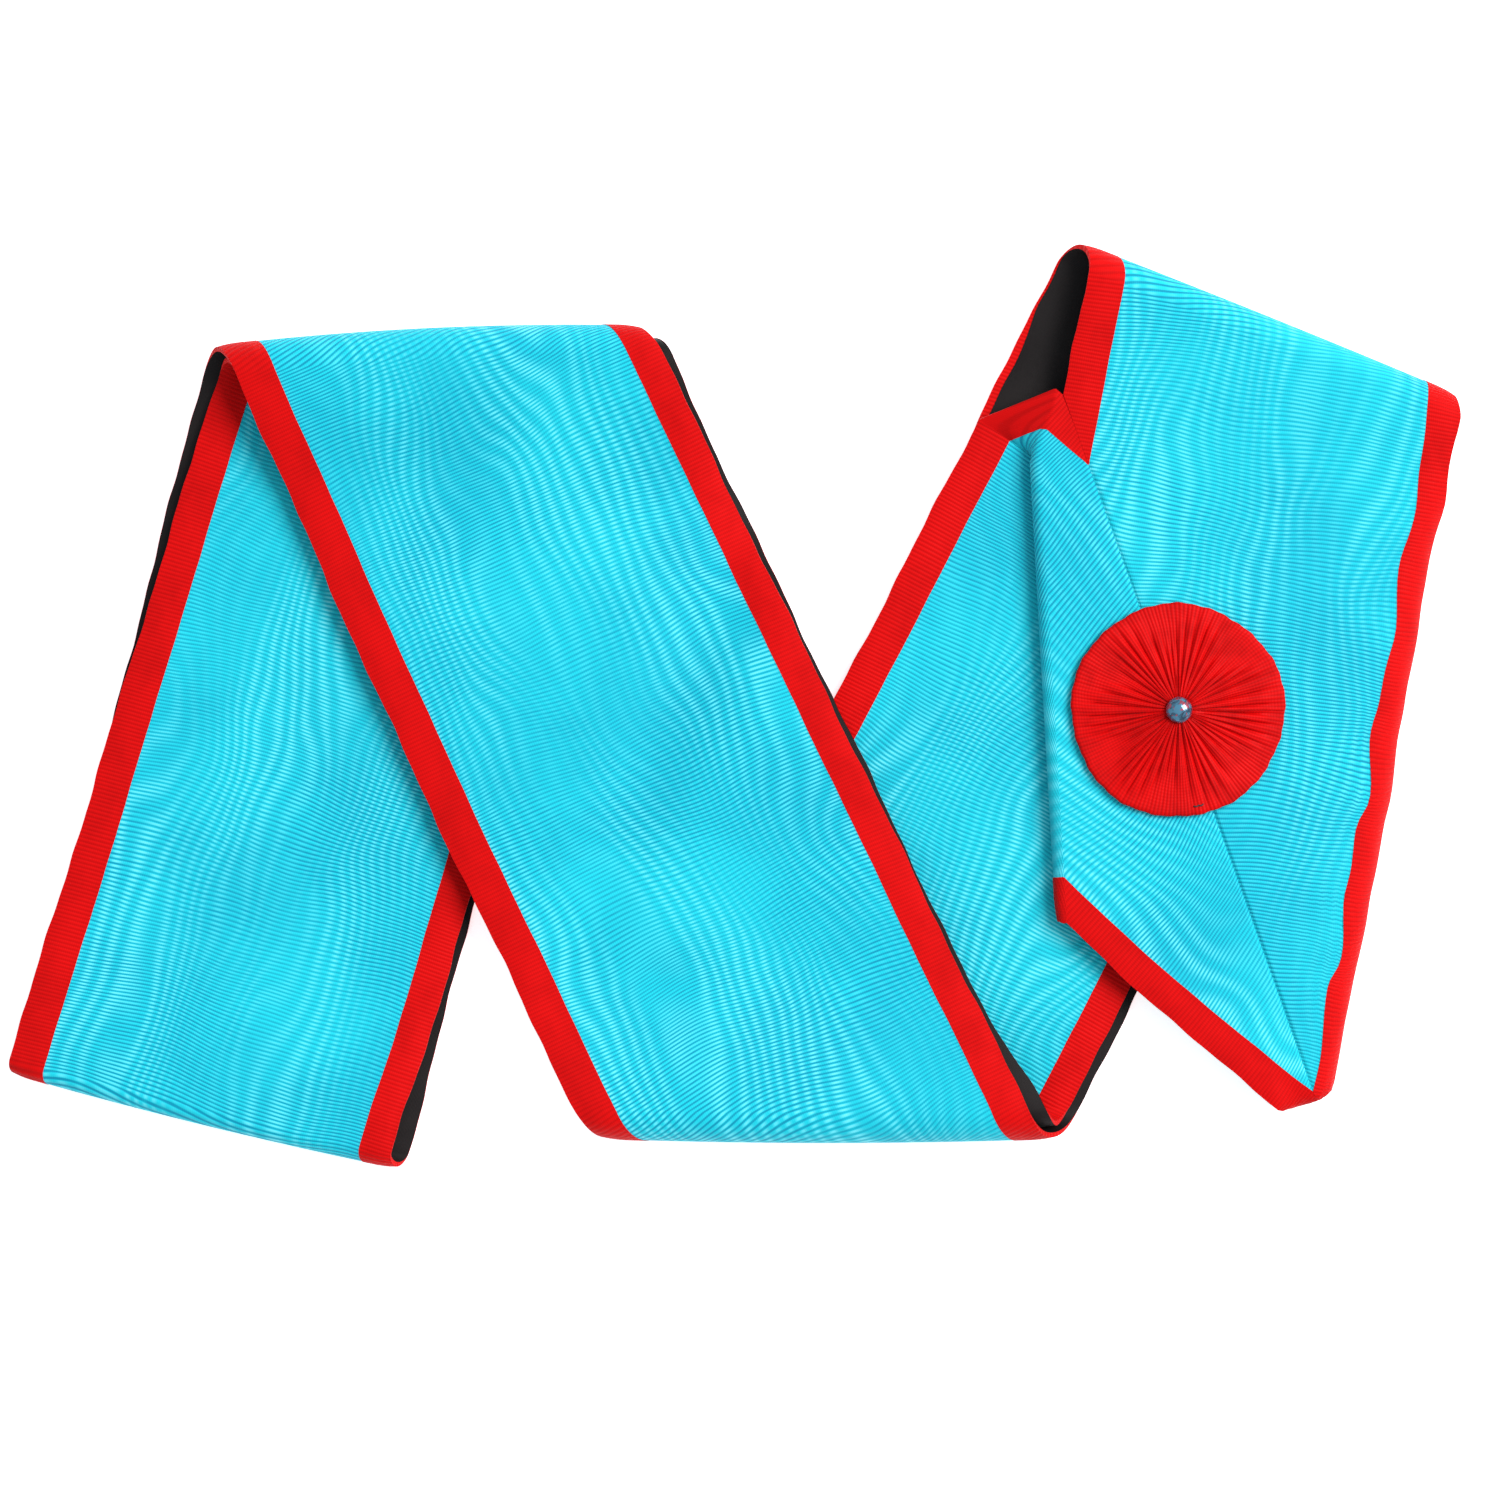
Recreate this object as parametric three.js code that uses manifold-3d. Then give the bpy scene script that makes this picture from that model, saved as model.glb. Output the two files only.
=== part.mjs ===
// Sash of an order: one closed loop of watered ribbon with red edges and a black lining, mitred
// to a point under a pleated rosette, and lying flat in a double zigzag on a table.
// Millimetres, +Z up, seen from above with the rosette on the right.
import * as THREE from "three";
import Module from "manifold-3d";

// Ribbon and lining.
const bandWidth = 101.6;
const innerEdgeWidth = 9.4;
const outerEdgeWidth = 8.4;
const bindingLip = 1.0;
const faceWall = 1.0;
const liningWall = 1.0;
const pieceGap = 0.3;
const layerGap = 0.7;

// Free height inside the folds, from the cloth's surface to the middle of the roll.
const zigzagRollRoom = 3.1;
const shoulderRollRoom = 4.6;
const endRollRoom = 1.9;
const dartRollRoom = 0.45;

// Centreline lengths of the visible legs, from fold to fold.
const shoulderLegLength = 110.6;
const rightLegLength = 219.5;
const middleLegLength = 208.8;
const leftLegLength = 195.2;
const mitreLegLength = 50;
// The right leg's inner edge ends this far short of the mitre's inner corner.
const dartSetback = 15.6;
const dartApex = 19;
// The crest's inner end is pulled on towards the tip, and over what width of the band.
const crestTuck = 7;
const crestTuckWidth = 17;

// How far a fold's puff reaches into a leg, and how the legs sink where nothing lies below.
const puffLength = 42;
const endPuffLength = 48;
const bridgeSag = 2.6;
const bridgeBlend = 26;
const bridgeMargin = 16;
const overhangBlend = 60;
const overhangMargin = 5;

// The mitre's free outer edge curls down, most of all at the tip. Turns in degrees.
const curlWidth = 9;
const sideCurl = 57;
const tipCurl = 92;
const tipClearance = 0.4;
// Shares of a leg's length: where the tip's curl eases off, and the curl's ends on each leg.
const curlShares = {
  tipEnd: 0.45,
  shoulderEnd: 0.8,
  mitreStart: 0.78,
};

// Rosette and its button.
const rosetteDiameter = 55;
const rosetteOffset = 17.5;
const rosetteHoleDiameter = 2.6;
const rosetteWall = 1.1;
const rosetteRimRise = 0.7;
const rosetteCentreRise = 2.6;
const pleatDepthAtRim = 0.5;
const pleatDepthAtCentre = 2.2;
const pleatCount = 48;
const rimSwayFive = 0.35;
const rimSwayThree = 0.3;
const buttonDiameter = 6.6;
const buttonDomeHeight = 2.6;
const buttonShankDiameter = 1.8;

// Mesh fineness.
const rowSpacing = 20;
const rollRows = 6;
const dartRows = 4;
const pointsPerPleat = 2;
const buttonSegments = 16;
const domeSteps = 5;

// Directions of travel, in degrees from +X, walking the loop from the mitre seam and back to it:
// first along the outside of the zigzag to its left end, then back along its inside.
const heading = {
  shoulder: 80.2,
  rightOuter: -116.3,
  middleOuter: 115.24,
  leftOuter: -104.6,
  leftInner: 73.1,
  middleInner: -64.4,
  rightInner: 62.5,
  dart: -132.9,
  mitre: -40.6,
};

// One row for each large fold, walking the loop. angle: fold line's direction in degrees from +X.
// creep: how far the band slides along the fold line while it rolls over, in band widths.
// crown: how far the fold's middle stands out past its ends, in band widths. widenBefore and
// widenAfter: how much wider the band lies where it enters and leaves the fold, as a share.
const folds = {
  shoulder: { angle: -22, creep: -0.0816, crown: 0.004, widenBefore: -0.022, widenAfter: 0 },
  lowerOuter: { angle: 0, creep: -0.153, crown: 0.01, widenBefore: 0, widenAfter: 0.025 },
  upperOuter: { angle: 2.7, creep: -0.115, crown: 0.018, widenBefore: -0.015, widenAfter: 0 },
  end: { angle: -13.8, creep: -0.03, crown: 0.01, widenBefore: 0, widenAfter: 0 },
  upperInner: { angle: 2.7, creep: 0.0706, crown: 0.018, widenBefore: 0, widenAfter: 0 },
  lowerInner: { angle: 0, creep: 0.0945, crown: 0.01, widenBefore: 0, widenAfter: 0 },
};

const colours = {
  ribbon: 0x2cc4e6,
  edge: 0xd81a1c,
  lining: 0x1c1919,
  rosette: 0xcf1411,
  button: 0x4f6f86,
};

// Thickness of the lined band and the heights of its middle in the pile.
const bandWall = faceWall + pieceGap + liningWall;
const halfWall = bandWall / 2;
const layerStep = bandWall + layerGap;
const insideRadius = halfWall + zigzagRollRoom;
const outsideRadius = insideRadius + layerStep;
const shoulderRadius = halfWall + shoulderRollRoom;
const endRadius = halfWall + endRollRoom;
const dartRadius = halfWall + dartRollRoom;
const height = {
  bottomLayer: halfWall,
  secondLayer: halfWall + layerStep,
};
height.front = height.secondLayer + 4 * dartRadius;
height.middleInner = height.secondLayer + layerStep;
height.middleOuter = height.middleInner + layerStep;

const radians = THREE.MathUtils.degToRad;
const lerp = THREE.MathUtils.lerp;

// Depth of the free edge once the curl has turned it through an angle.
function curlDepth(turn) {
  return curlWidth / turn * (1 - Math.cos(turn));
}

// The mitre's free tip hangs down until its curled edge almost meets the table.
const overhangDrop = height.front - curlDepth(radians(tipCurl)) - halfWall - tipClearance;

function direction(angle) {
  return new THREE.Vector2(Math.cos(radians(angle)), Math.sin(radians(angle)));
}

// The unit vector from the inner edge to the outer edge: right of the way when the face is up.
function across(angle, faceUp) {
  const along = direction(angle);
  return faceUp ? new THREE.Vector2(along.y, -along.x) : new THREE.Vector2(-along.y, along.x);
}

function along(origin, vector, distance) {
  return origin.clone().addScaledVector(vector, distance);
}

function ease(share) {
  const x = THREE.MathUtils.clamp(share, 0, 1);
  return x * x * (3 - 2 * x);
}

// Distance from origin, along way, to the line through linePoint with direction lineWay.
function reach(origin, way, linePoint, lineWay) {
  const gap = linePoint.clone().sub(origin);
  return gap.cross(lineWay) / way.cross(lineWay);
}

// A leg of the band: its direction, its side and the height of its middle.
function leg(angle, faceUp, level) {
  return { way: direction(angle), across: across(angle, faceUp), level };
}

const legs = {
  shoulder: leg(heading.shoulder, true, height.front),
  rightOuter: leg(heading.rightOuter, false, height.bottomLayer),
  middleOuter: leg(heading.middleOuter, true, height.middleOuter),
  leftOuter: leg(heading.leftOuter, false, height.bottomLayer),
  leftInner: leg(heading.leftInner, true, height.secondLayer),
  middleInner: leg(heading.middleInner, false, height.middleInner),
  rightInner: leg(heading.rightInner, true, height.secondLayer),
  mitre: leg(heading.mitre, true, height.front),
};

// A gate is the line across the band where a leg meets a fold or the seam. bulge: the way its
// points stand off the straight line, by bend(t).
function gate(centre, lineWay, owner, widen = 0) {
  const toOuter = lineWay.clone();
  if (toOuter.dot(owner.across) < 0) toOuter.negate();
  return { centre, toOuter, stretch: (1 + widen) / toOuter.dot(owner.across), bulge: null, bend: null };
}

function gatePoint(line, t) {
  const point = along(line.centre, line.toOuter, t * line.stretch);
  if (line.bulge) point.addScaledVector(line.bulge, line.bend(t));
  return point;
}

// A fold from one leg to the next, about a line through centre; the band creeps along the line.
function fold(centre, settings, before, after, radius) {
  const lineWay = direction(settings.angle);
  const creep = settings.creep * bandWidth;
  const crown = settings.crown * bandWidth;
  const entry = gate(centre, lineWay, before, settings.widenBefore);
  const outward = new THREE.Vector2(-lineWay.y, lineWay.x);
  if (outward.dot(before.way) < 0) outward.negate();
  const exit = gate(along(centre, entry.toOuter, creep), lineWay, after, settings.widenAfter);
  for (const line of [entry, exit]) {
    line.bulge = outward;
    line.bend = (t) => crown * (1 - (2 * t / bandWidth) ** 2);
  }
  const entrySlope = before.way.dot(entry.toOuter) / before.way.dot(outward);
  const exitSlope = -after.way.dot(entry.toOuter) / after.way.dot(outward);
  return { entry, exit, outward, radius, creep, entrySlope, exitSlope, before, after };
}

// Walk the outside layer from the seam, then the inside layer back to the dart.
const seamCentre = new THREE.Vector2(0, 0);
const seamAngle = (heading.shoulder + heading.mitre + 180) / 2;
const seamWay = direction(seamAngle);

const shoulderFold = fold(
  along(seamCentre, legs.shoulder.way, shoulderLegLength),
  folds.shoulder, legs.shoulder, legs.rightOuter, shoulderRadius,
);
const lowerOuterFold = fold(
  along(shoulderFold.exit.centre, legs.rightOuter.way, rightLegLength),
  folds.lowerOuter, legs.rightOuter, legs.middleOuter, outsideRadius,
);
const upperOuterFold = fold(
  along(lowerOuterFold.exit.centre, legs.middleOuter.way, middleLegLength),
  folds.upperOuter, legs.middleOuter, legs.leftOuter, outsideRadius,
);
const endFold = fold(
  along(upperOuterFold.exit.centre, legs.leftOuter.way, leftLegLength),
  folds.end, legs.leftOuter, legs.leftInner, endRadius,
);

// An inside fold shares its fold line in plan with the outside fold that wraps it.
function nestedFold(from, outer, settings, before, after) {
  const run = reach(from.exit.centre, before.way, outer.entry.centre, direction(settings.angle));
  return fold(along(from.exit.centre, before.way, run), settings, before, after, insideRadius);
}

const upperInnerFold = nestedFold(
  endFold, upperOuterFold, folds.upperInner, legs.leftInner, legs.middleInner,
);
const lowerInnerFold = nestedFold(
  upperInnerFold, lowerOuterFold, folds.lowerInner, legs.middleInner, legs.rightInner,
);

// The dart turns the band from the right leg to the mitre: a valley fold under a crest fold. The
// two fold lines cross near the inner edge, and past the crossing the band only steps up.
const crestAngle = (heading.dart + heading.mitre) / 2;
const crestGate = gate(
  along(seamCentre, legs.mitre.way, -mitreLegLength), direction(crestAngle), legs.mitre,
);
crestGate.bulge = legs.mitre.way;
crestGate.bend = (t) => crestTuck * ease(1 - (t + bandWidth / 2) / crestTuckWidth);
const crestOutward = new THREE.Vector2(crestGate.toOuter.y, -crestGate.toOuter.x);
if (crestOutward.dot(legs.mitre.way) > 0) crestOutward.negate();

const valleyAngle = (heading.rightInner + heading.dart) / 2;
const innerCorner = gatePoint(crestGate, -bandWidth / 2);
const innerEdgeStart = along(lowerInnerFold.exit.centre, legs.rightInner.across, -bandWidth / 2);
const innerEdgeRun = innerCorner.clone().sub(innerEdgeStart).dot(legs.rightInner.way) - dartSetback;
const valleyInnerEnd = along(innerEdgeStart, legs.rightInner.way, innerEdgeRun);
const valleyRun = reach(
  lowerInnerFold.exit.centre, legs.rightInner.way, valleyInnerEnd, direction(valleyAngle),
);
const valleyGate = gate(
  along(lowerInnerFold.exit.centre, legs.rightInner.way, valleyRun),
  direction(valleyAngle), legs.rightInner,
);
const valleyOutward = new THREE.Vector2(valleyGate.toOuter.y, -valleyGate.toOuter.x);
if (valleyOutward.dot(legs.rightInner.way) < 0) valleyOutward.negate();
const dartForward = legs.rightInner.way.clone().add(legs.mitre.way).normalize();

// The angle through which the band has turned up between the two folds, half a turn where it
// lies folded over.
function dartTurn(t) {
  const forward = gatePoint(crestGate, t).sub(gatePoint(valleyGate, t)).dot(dartForward);
  return 2 * Math.atan2(2 * dartRadius, Math.max(forward, 0));
}

function valleySurface(u, t) {
  const turn = u * dartTurn(t);
  const point = gatePoint(valleyGate, t).addScaledVector(valleyOutward, dartRadius * Math.sin(turn));
  return new THREE.Vector3(point.x, point.y, height.secondLayer + dartRadius * (1 - Math.cos(turn)));
}

function crestSurface(u, t) {
  const turn = (1 - u) * dartTurn(t);
  const point = gatePoint(crestGate, t).addScaledVector(crestOutward, dartRadius * Math.sin(turn));
  return new THREE.Vector3(point.x, point.y, height.front - dartRadius * (1 - Math.cos(turn)));
}

function dartSurface(u, t) {
  return valleySurface(1, t).lerp(crestSurface(0, t), u);
}

// Distance of a point past a leg's edge, on its outer side (side 1) or inner side (side -1).
function pastEdge(point, owner, onLeg, side) {
  const offset = point.clone().sub(onLeg).dot(owner.across);
  return side * offset - bandWidth / 2;
}

// How far the band sinks below its level where no other leg lies under it.
function sink(owner, point) {
  if (owner === legs.middleOuter || owner === legs.middleInner) {
    const pastLeft = Math.min(
      pastEdge(point, legs.leftOuter, endFold.entry.centre, 1),
      pastEdge(point, legs.leftInner, endFold.exit.centre, 1),
    );
    const pastRight = Math.min(
      pastEdge(point, legs.rightOuter, shoulderFold.exit.centre, -1),
      pastEdge(point, legs.rightInner, lowerInnerFold.exit.centre, -1),
    );
    const free = ease((pastLeft - bridgeMargin) / bridgeBlend);
    return bridgeSag * free * ease((pastRight - bridgeMargin) / bridgeBlend);
  }
  if (owner === legs.shoulder || owner === legs.mitre) {
    const past = Math.min(
      pastEdge(point, legs.rightOuter, shoulderFold.exit.centre, 1),
      pastEdge(point, legs.rightInner, lowerInnerFold.exit.centre, 1),
    );
    return overhangDrop * ease((past - overhangMargin) / overhangBlend);
  }
  return 0;
}

// How far the free outer edge has turned down at a place u along a leg, in radians.
function curlTurn(owner, u) {
  const { tipEnd, shoulderEnd, mitreStart } = curlShares;
  if (owner === legs.shoulder) {
    const side = sideCurl * (1 - ease((u - shoulderEnd) / (1 - shoulderEnd)));
    return radians(lerp(tipCurl, side, ease(u / tipEnd)));
  }
  if (owner === legs.mitre) return radians(tipCurl * ease((u - mitreStart) / (1 - mitreStart)));
  return 0;
}

// The middle surface of a leg between two gates. lift: extra height at each end, fading inward.
function legSurface(owner, start, end, startLift, endLift, fade) {
  return (u, place) => {
    const turn = curlTurn(owner, u);
    const curlStart = bandWidth / 2 - curlWidth;
    let t = place;
    let drop = 0;
    if (place > curlStart && turn > 1e-4) {
      const bend = (place - curlStart) / curlWidth * turn;
      t = curlStart + curlWidth / turn * Math.sin(bend);
      drop = curlWidth / turn * (1 - Math.cos(bend));
    }
    const from = gatePoint(start, t);
    const to = gatePoint(end, t);
    const length = from.distanceTo(to);
    const point = from.lerp(to, u);
    const lift = startLift * (1 - ease(u * length / fade)) + endLift * (1 - ease((1 - u) * length / fade));
    return new THREE.Vector3(point.x, point.y, owner.level + lift - drop - sink(owner, point));
  };
}

// The middle surface of a fold: half a turn about the fold line, from one leg's height to the next.
function foldSurface(turn, startLift, endLift) {
  const { before, after, entry, exit, outward, radius, creep } = turn;
  return (u, t) => {
    const from = gatePoint(entry, t);
    const to = gatePoint(exit, t);
    const low = before.level + startLift - sink(before, from);
    const high = after.level + endLift - sink(after, to);
    const reachOut = Math.abs(high - low) / 2;
    const startPull = Math.PI * radius * turn.entrySlope;
    const endPull = Math.PI * radius * turn.exitSlope;
    const slide = startPull * u * (1 - u) ** 2 - endPull * u * u * (1 - u) + creep * u * u * (3 - 2 * u);
    const point = gatePoint(entry, t);
    const widthChange = (exit.stretch - entry.stretch) * t * u;
    point.addScaledVector(entry.toOuter, slide + widthChange);
    point.addScaledVector(outward, reachOut * Math.sin(Math.PI * u));
    return new THREE.Vector3(point.x, point.y, lerp(low, high, (1 - Math.cos(Math.PI * u)) / 2));
  };
}

// The seam's two gates stand half a gap to each side of the seam line.
function seamGate(owner, sign) {
  const line = gate(seamCentre, seamWay, owner);
  line.centre = along(seamCentre, owner.way, sign * pieceGap / 2 * line.stretch);
  return line;
}

// Heights at which the puffed folds meet the legs, above those legs' own levels.
const shoulderLift = height.bottomLayer + 2 * shoulderRadius - height.front;
const zigzagLift = height.secondLayer + 2 * insideRadius - height.middleInner;
const endLift = height.bottomLayer + 2 * endRadius - height.secondLayer;

// The whole loop, stretch by stretch from the seam. rows: fixed number of rows, for folds.
const stretches = [
  {
    surface: legSurface(
      legs.shoulder, seamGate(legs.shoulder, 1), shoulderFold.entry, 0, shoulderLift, puffLength,
    ),
  },
  { surface: foldSurface(shoulderFold, shoulderLift, 0), rows: rollRows },
  {
    surface: legSurface(
      legs.rightOuter, shoulderFold.exit, lowerOuterFold.entry, 0, 0, puffLength,
    ),
  },
  { surface: foldSurface(lowerOuterFold, 0, zigzagLift), rows: rollRows },
  {
    surface: legSurface(
      legs.middleOuter, lowerOuterFold.exit, upperOuterFold.entry, zigzagLift, zigzagLift, puffLength,
    ),
  },
  { surface: foldSurface(upperOuterFold, zigzagLift, 0), rows: rollRows },
  {
    surface: legSurface(legs.leftOuter, upperOuterFold.exit, endFold.entry, 0, 0, puffLength),
  },
  { surface: foldSurface(endFold, 0, endLift), rows: rollRows },
  {
    surface: legSurface(
      legs.leftInner, endFold.exit, upperInnerFold.entry, endLift, 0, endPuffLength,
    ),
  },
  { surface: foldSurface(upperInnerFold, 0, zigzagLift), rows: rollRows },
  {
    surface: legSurface(
      legs.middleInner, upperInnerFold.exit, lowerInnerFold.entry, zigzagLift, zigzagLift, puffLength,
    ),
  },
  { surface: foldSurface(lowerInnerFold, zigzagLift, 0), rows: rollRows },
  {
    surface: legSurface(legs.rightInner, lowerInnerFold.exit, valleyGate, 0, 0, puffLength),
  },
  { surface: valleySurface, rows: dartRows },
  { surface: dartSurface },
  { surface: crestSurface, rows: dartRows },
  {
    surface: legSurface(legs.mitre, crestGate, seamGate(legs.mitre, -1), 0, 0, puffLength),
  },
];

// Unit normal of the middle surface on its face side, from small steps along and across.
function faceNormal(surface, u, t) {
  const step = 1e-3;
  const ahead = surface(Math.min(u + step, 1), t);
  const behind = surface(Math.max(u - step, 0), t);
  const outer = surface(u, t + step * bandWidth);
  const inner = surface(u, t - step * bandWidth);
  return outer.sub(inner).cross(ahead.sub(behind)).normalize();
}

// Rows of the loop, each a place on one stretch; a leg has a row about every rowSpacing.
function loopRows() {
  const places = [];
  for (const { surface, rows } of stretches) {
    const longest = Math.max(
      surface(0, bandWidth / 2).distanceTo(surface(1, bandWidth / 2)),
      surface(0, -bandWidth / 2).distanceTo(surface(1, -bandWidth / 2)),
    );
    const count = rows || Math.max(2, Math.round(longest / rowSpacing));
    for (let i = 0; i < count; i++) places.push({ surface, u: i / count });
  }
  places.push({ surface: stretches.at(-1).surface, u: 1 });
  return places;
}

const loopPlaces = loopRows();

// A strip swept along the whole loop. section: closed outline of points with the place across the
// band as x and the height above the band's middle as y, anticlockwise.
function loopStrip(section) {
  const positions = [];
  for (const { surface, u } of loopPlaces) {
    for (const corner of section) {
      const middle = surface(u, corner.x);
      const point = middle.addScaledVector(faceNormal(surface, u, corner.x), corner.y);
      positions.push(point.x, point.y, point.z);
    }
  }
  const size = section.length;
  const index = [];
  for (let r = 0; r + 1 < loopPlaces.length; r++) {
    for (let i = 0; i < size; i++) {
      const j = (i + 1) % size;
      const a = r * size + i;
      const b = r * size + j;
      // The diagonal runs the same way on both faces, so that neighbouring walls stay parallel.
      if (section[j].x > section[i].x) index.push(a, b + size, b, a, a + size, b + size);
      else index.push(a, a + size, b, b, a + size, b + size);
    }
  }
  const last = (loopPlaces.length - 1) * size;
  for (const [a, b, c] of THREE.ShapeUtils.triangulateShape(section, [])) {
    index.push(a, b, c, last + a, last + c, last + b);
  }
  const geometry = new THREE.BufferGeometry();
  geometry.setAttribute("position", new THREE.Float32BufferAttribute(positions, 3));
  geometry.setIndex(index);
  return geometry;
}

// Flat strip section through the given places across the band.
function flatSection(places, low, high) {
  const lower = [];
  const upper = [];
  for (const x of places) {
    lower.push(new THREE.Vector2(x, low));
    upper.unshift(new THREE.Vector2(x, high));
  }
  return [...lower, ...upper];
}

// The edge ribbon lies beside the blue ribbon and turns round the lining's edge.
function edgeSection(width, side) {
  const outside = side * bandWidth / 2;
  const lip = outside - side * bindingLip;
  const inside = outside - side * width;
  const outline = [
    new THREE.Vector2(inside, halfWall - faceWall),
    new THREE.Vector2(lip, halfWall - faceWall),
    new THREE.Vector2(lip, -halfWall),
    new THREE.Vector2(outside, -halfWall),
    new THREE.Vector2(outside, halfWall),
    new THREE.Vector2(inside, halfWall),
  ];
  return side > 0 ? outline : outline.reverse();
}

const bandHalf = bandWidth / 2;
const ribbonInside = -bandHalf + innerEdgeWidth + pieceGap;
const ribbonOutside = bandHalf - outerEdgeWidth - pieceGap;
const liningInset = bindingLip + pieceGap;
// Columns across the band: close together beside the dart's apex, where the band twists.
const apexPlace = -bandHalf + dartApex;
const columnPlaces = [apexPlace - dartApex / 4, apexPlace, apexPlace + bandWidth / 3];
const ribbonPlaces = [ribbonInside, ...columnPlaces, ribbonOutside];
const liningPlaces = [
  -bandHalf + liningInset, ribbonInside, ...columnPlaces, bandHalf - curlWidth, bandHalf - liningInset,
];
const ribbonSection = flatSection(ribbonPlaces, halfWall - faceWall, halfWall);
const liningSection = flatSection(liningPlaces, -halfWall, liningWall - halfWall);

// Rosette: a gathered ring of ribbon, its pleats deep at the middle and faint at the rim.
const rosetteRadius = rosetteDiameter / 2;
const rosetteHoleRadius = rosetteHoleDiameter / 2;
// One row for each ring of points. out: way from the hole to the rim. rise: way up from the rim's
// height to the centre's.
const rosetteRings = [
  { out: 0, rise: 0.72 },
  { out: 0.08, rise: 1 },
  { out: 0.3, rise: 0.78 },
  { out: 0.62, rise: 0.34 },
  { out: 0.9, rise: 0.1 },
  { out: 1, rise: 0 },
];

function rosetteGeometry() {
  const around = pleatCount * pointsPerPleat;
  const positions = [];
  for (const side of [1, 0]) {
    for (const ring of rosetteRings) {
      const radius = lerp(rosetteHoleRadius, rosetteRadius, ring.out);
      const pleatDepth = lerp(pleatDepthAtCentre, pleatDepthAtRim, Math.sqrt(ring.out));
      for (let i = 0; i < around; i++) {
        const angle = i / around * Math.PI * 2;
        const fullness = (1 + Math.cos(i / pointsPerPleat * Math.PI * 2)) / 2;
        const sway = Math.sin(angle * 5) * rimSwayFive + Math.sin(angle * 3 + 1) * rimSwayThree;
        const rim = radius + ring.out * sway;
        const rise = lerp(rosetteRimRise, rosetteCentreRise, ring.rise) + pleatDepth * (fullness - 0.5);
        const under = Math.max(0, rise);
        positions.push(rim * Math.cos(angle), rim * Math.sin(angle), under + side * rosetteWall);
      }
    }
  }
  const rings = rosetteRings.length;
  const at = (side, ring, i) => ((side * rings + ring) * around) + i % around;
  const index = [];
  const quad = (a, b, c, d) => index.push(a, b, c, a, c, d);
  for (let i = 0; i < around; i++) {
    for (let ring = 0; ring + 1 < rings; ring++) {
      quad(at(0, ring, i), at(0, ring + 1, i), at(0, ring + 1, i + 1), at(0, ring, i + 1));
      quad(at(1, ring, i), at(1, ring, i + 1), at(1, ring + 1, i + 1), at(1, ring + 1, i));
    }
    quad(at(0, rings - 1, i), at(1, rings - 1, i), at(1, rings - 1, i + 1), at(0, rings - 1, i + 1));
    quad(at(0, 0, i), at(0, 0, i + 1), at(1, 0, i + 1), at(1, 0, i));
  }
  const geometry = new THREE.BufferGeometry();
  geometry.setAttribute("position", new THREE.Float32BufferAttribute(positions, 3));
  geometry.setIndex(index);
  return geometry;
}

// Button: a low dome on a shank that passes down the rosette's hole.
function buttonGeometry(seat) {
  const radius = buttonDiameter / 2;
  const profile = [new THREE.Vector2(0, 0), new THREE.Vector2(buttonShankDiameter / 2, 0)];
  profile.push(new THREE.Vector2(buttonShankDiameter / 2, seat));
  for (let i = 0; i < domeSteps; i++) {
    const turn = i / domeSteps * Math.PI / 2;
    profile.push(new THREE.Vector2(radius * Math.cos(turn), seat + buttonDomeHeight * Math.sin(turn)));
  }
  profile.push(new THREE.Vector2(0, seat + buttonDomeHeight));
  return new THREE.LatheGeometry(profile, buttonSegments).rotateX(Math.PI / 2);
}

function solid(name, geometry, colour, roughness, metalness) {
  const material = new THREE.MeshStandardMaterial({ color: colour, roughness, metalness });
  const mesh = new THREE.Mesh(geometry, material);
  mesh.name = name;
  return mesh;
}

const sash = new THREE.Group();
sash.add(solid("moire_ribbon", loopStrip(ribbonSection), colours.ribbon, 0.5, 0));
sash.add(solid("edge_ribbon_inner", loopStrip(edgeSection(innerEdgeWidth, -1)), colours.edge, 0.6, 0));
sash.add(solid("edge_ribbon_outer", loopStrip(edgeSection(outerEdgeWidth, 1)), colours.edge, 0.6, 0));
sash.add(solid("lining", loopStrip(liningSection), colours.lining, 0.5, 0));

const rosettePlace = along(seamCentre, seamWay, rosetteOffset);
const rosetteSeat = height.front + halfWall + pieceGap;
const rosette = solid("rosette", rosetteGeometry(), colours.rosette, 0.6, 0);
rosette.position.set(rosettePlace.x, rosettePlace.y, rosetteSeat);
sash.add(rosette);

// The button's dome rests a gap above the highest pleats round the hole.
const pleatTop = rosetteCentreRise + pleatDepthAtCentre / 2 + rosetteWall;
const buttonSeat = pleatTop + pieceGap;
const button = solid("rosette_button", buttonGeometry(buttonSeat), colours.button, 0.2, 0.6);
button.position.copy(rosette.position);
sash.add(button);

// The sash stands on z = 0 with the middle of its outline above the origin.
const outline = new THREE.Box3().setFromObject(sash);
const middle = outline.getCenter(new THREE.Vector3());
sash.position.set(-middle.x, -middle.y, -outline.min.z);

export default sash;
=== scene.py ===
"""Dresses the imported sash: one closed loop of watered ribbon with red edges and a black lining,
mitred to a point under a pleated rosette, lying in a flat zigzag on a pale floor.

All lengths are in metres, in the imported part's own frame."""
import math

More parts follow.
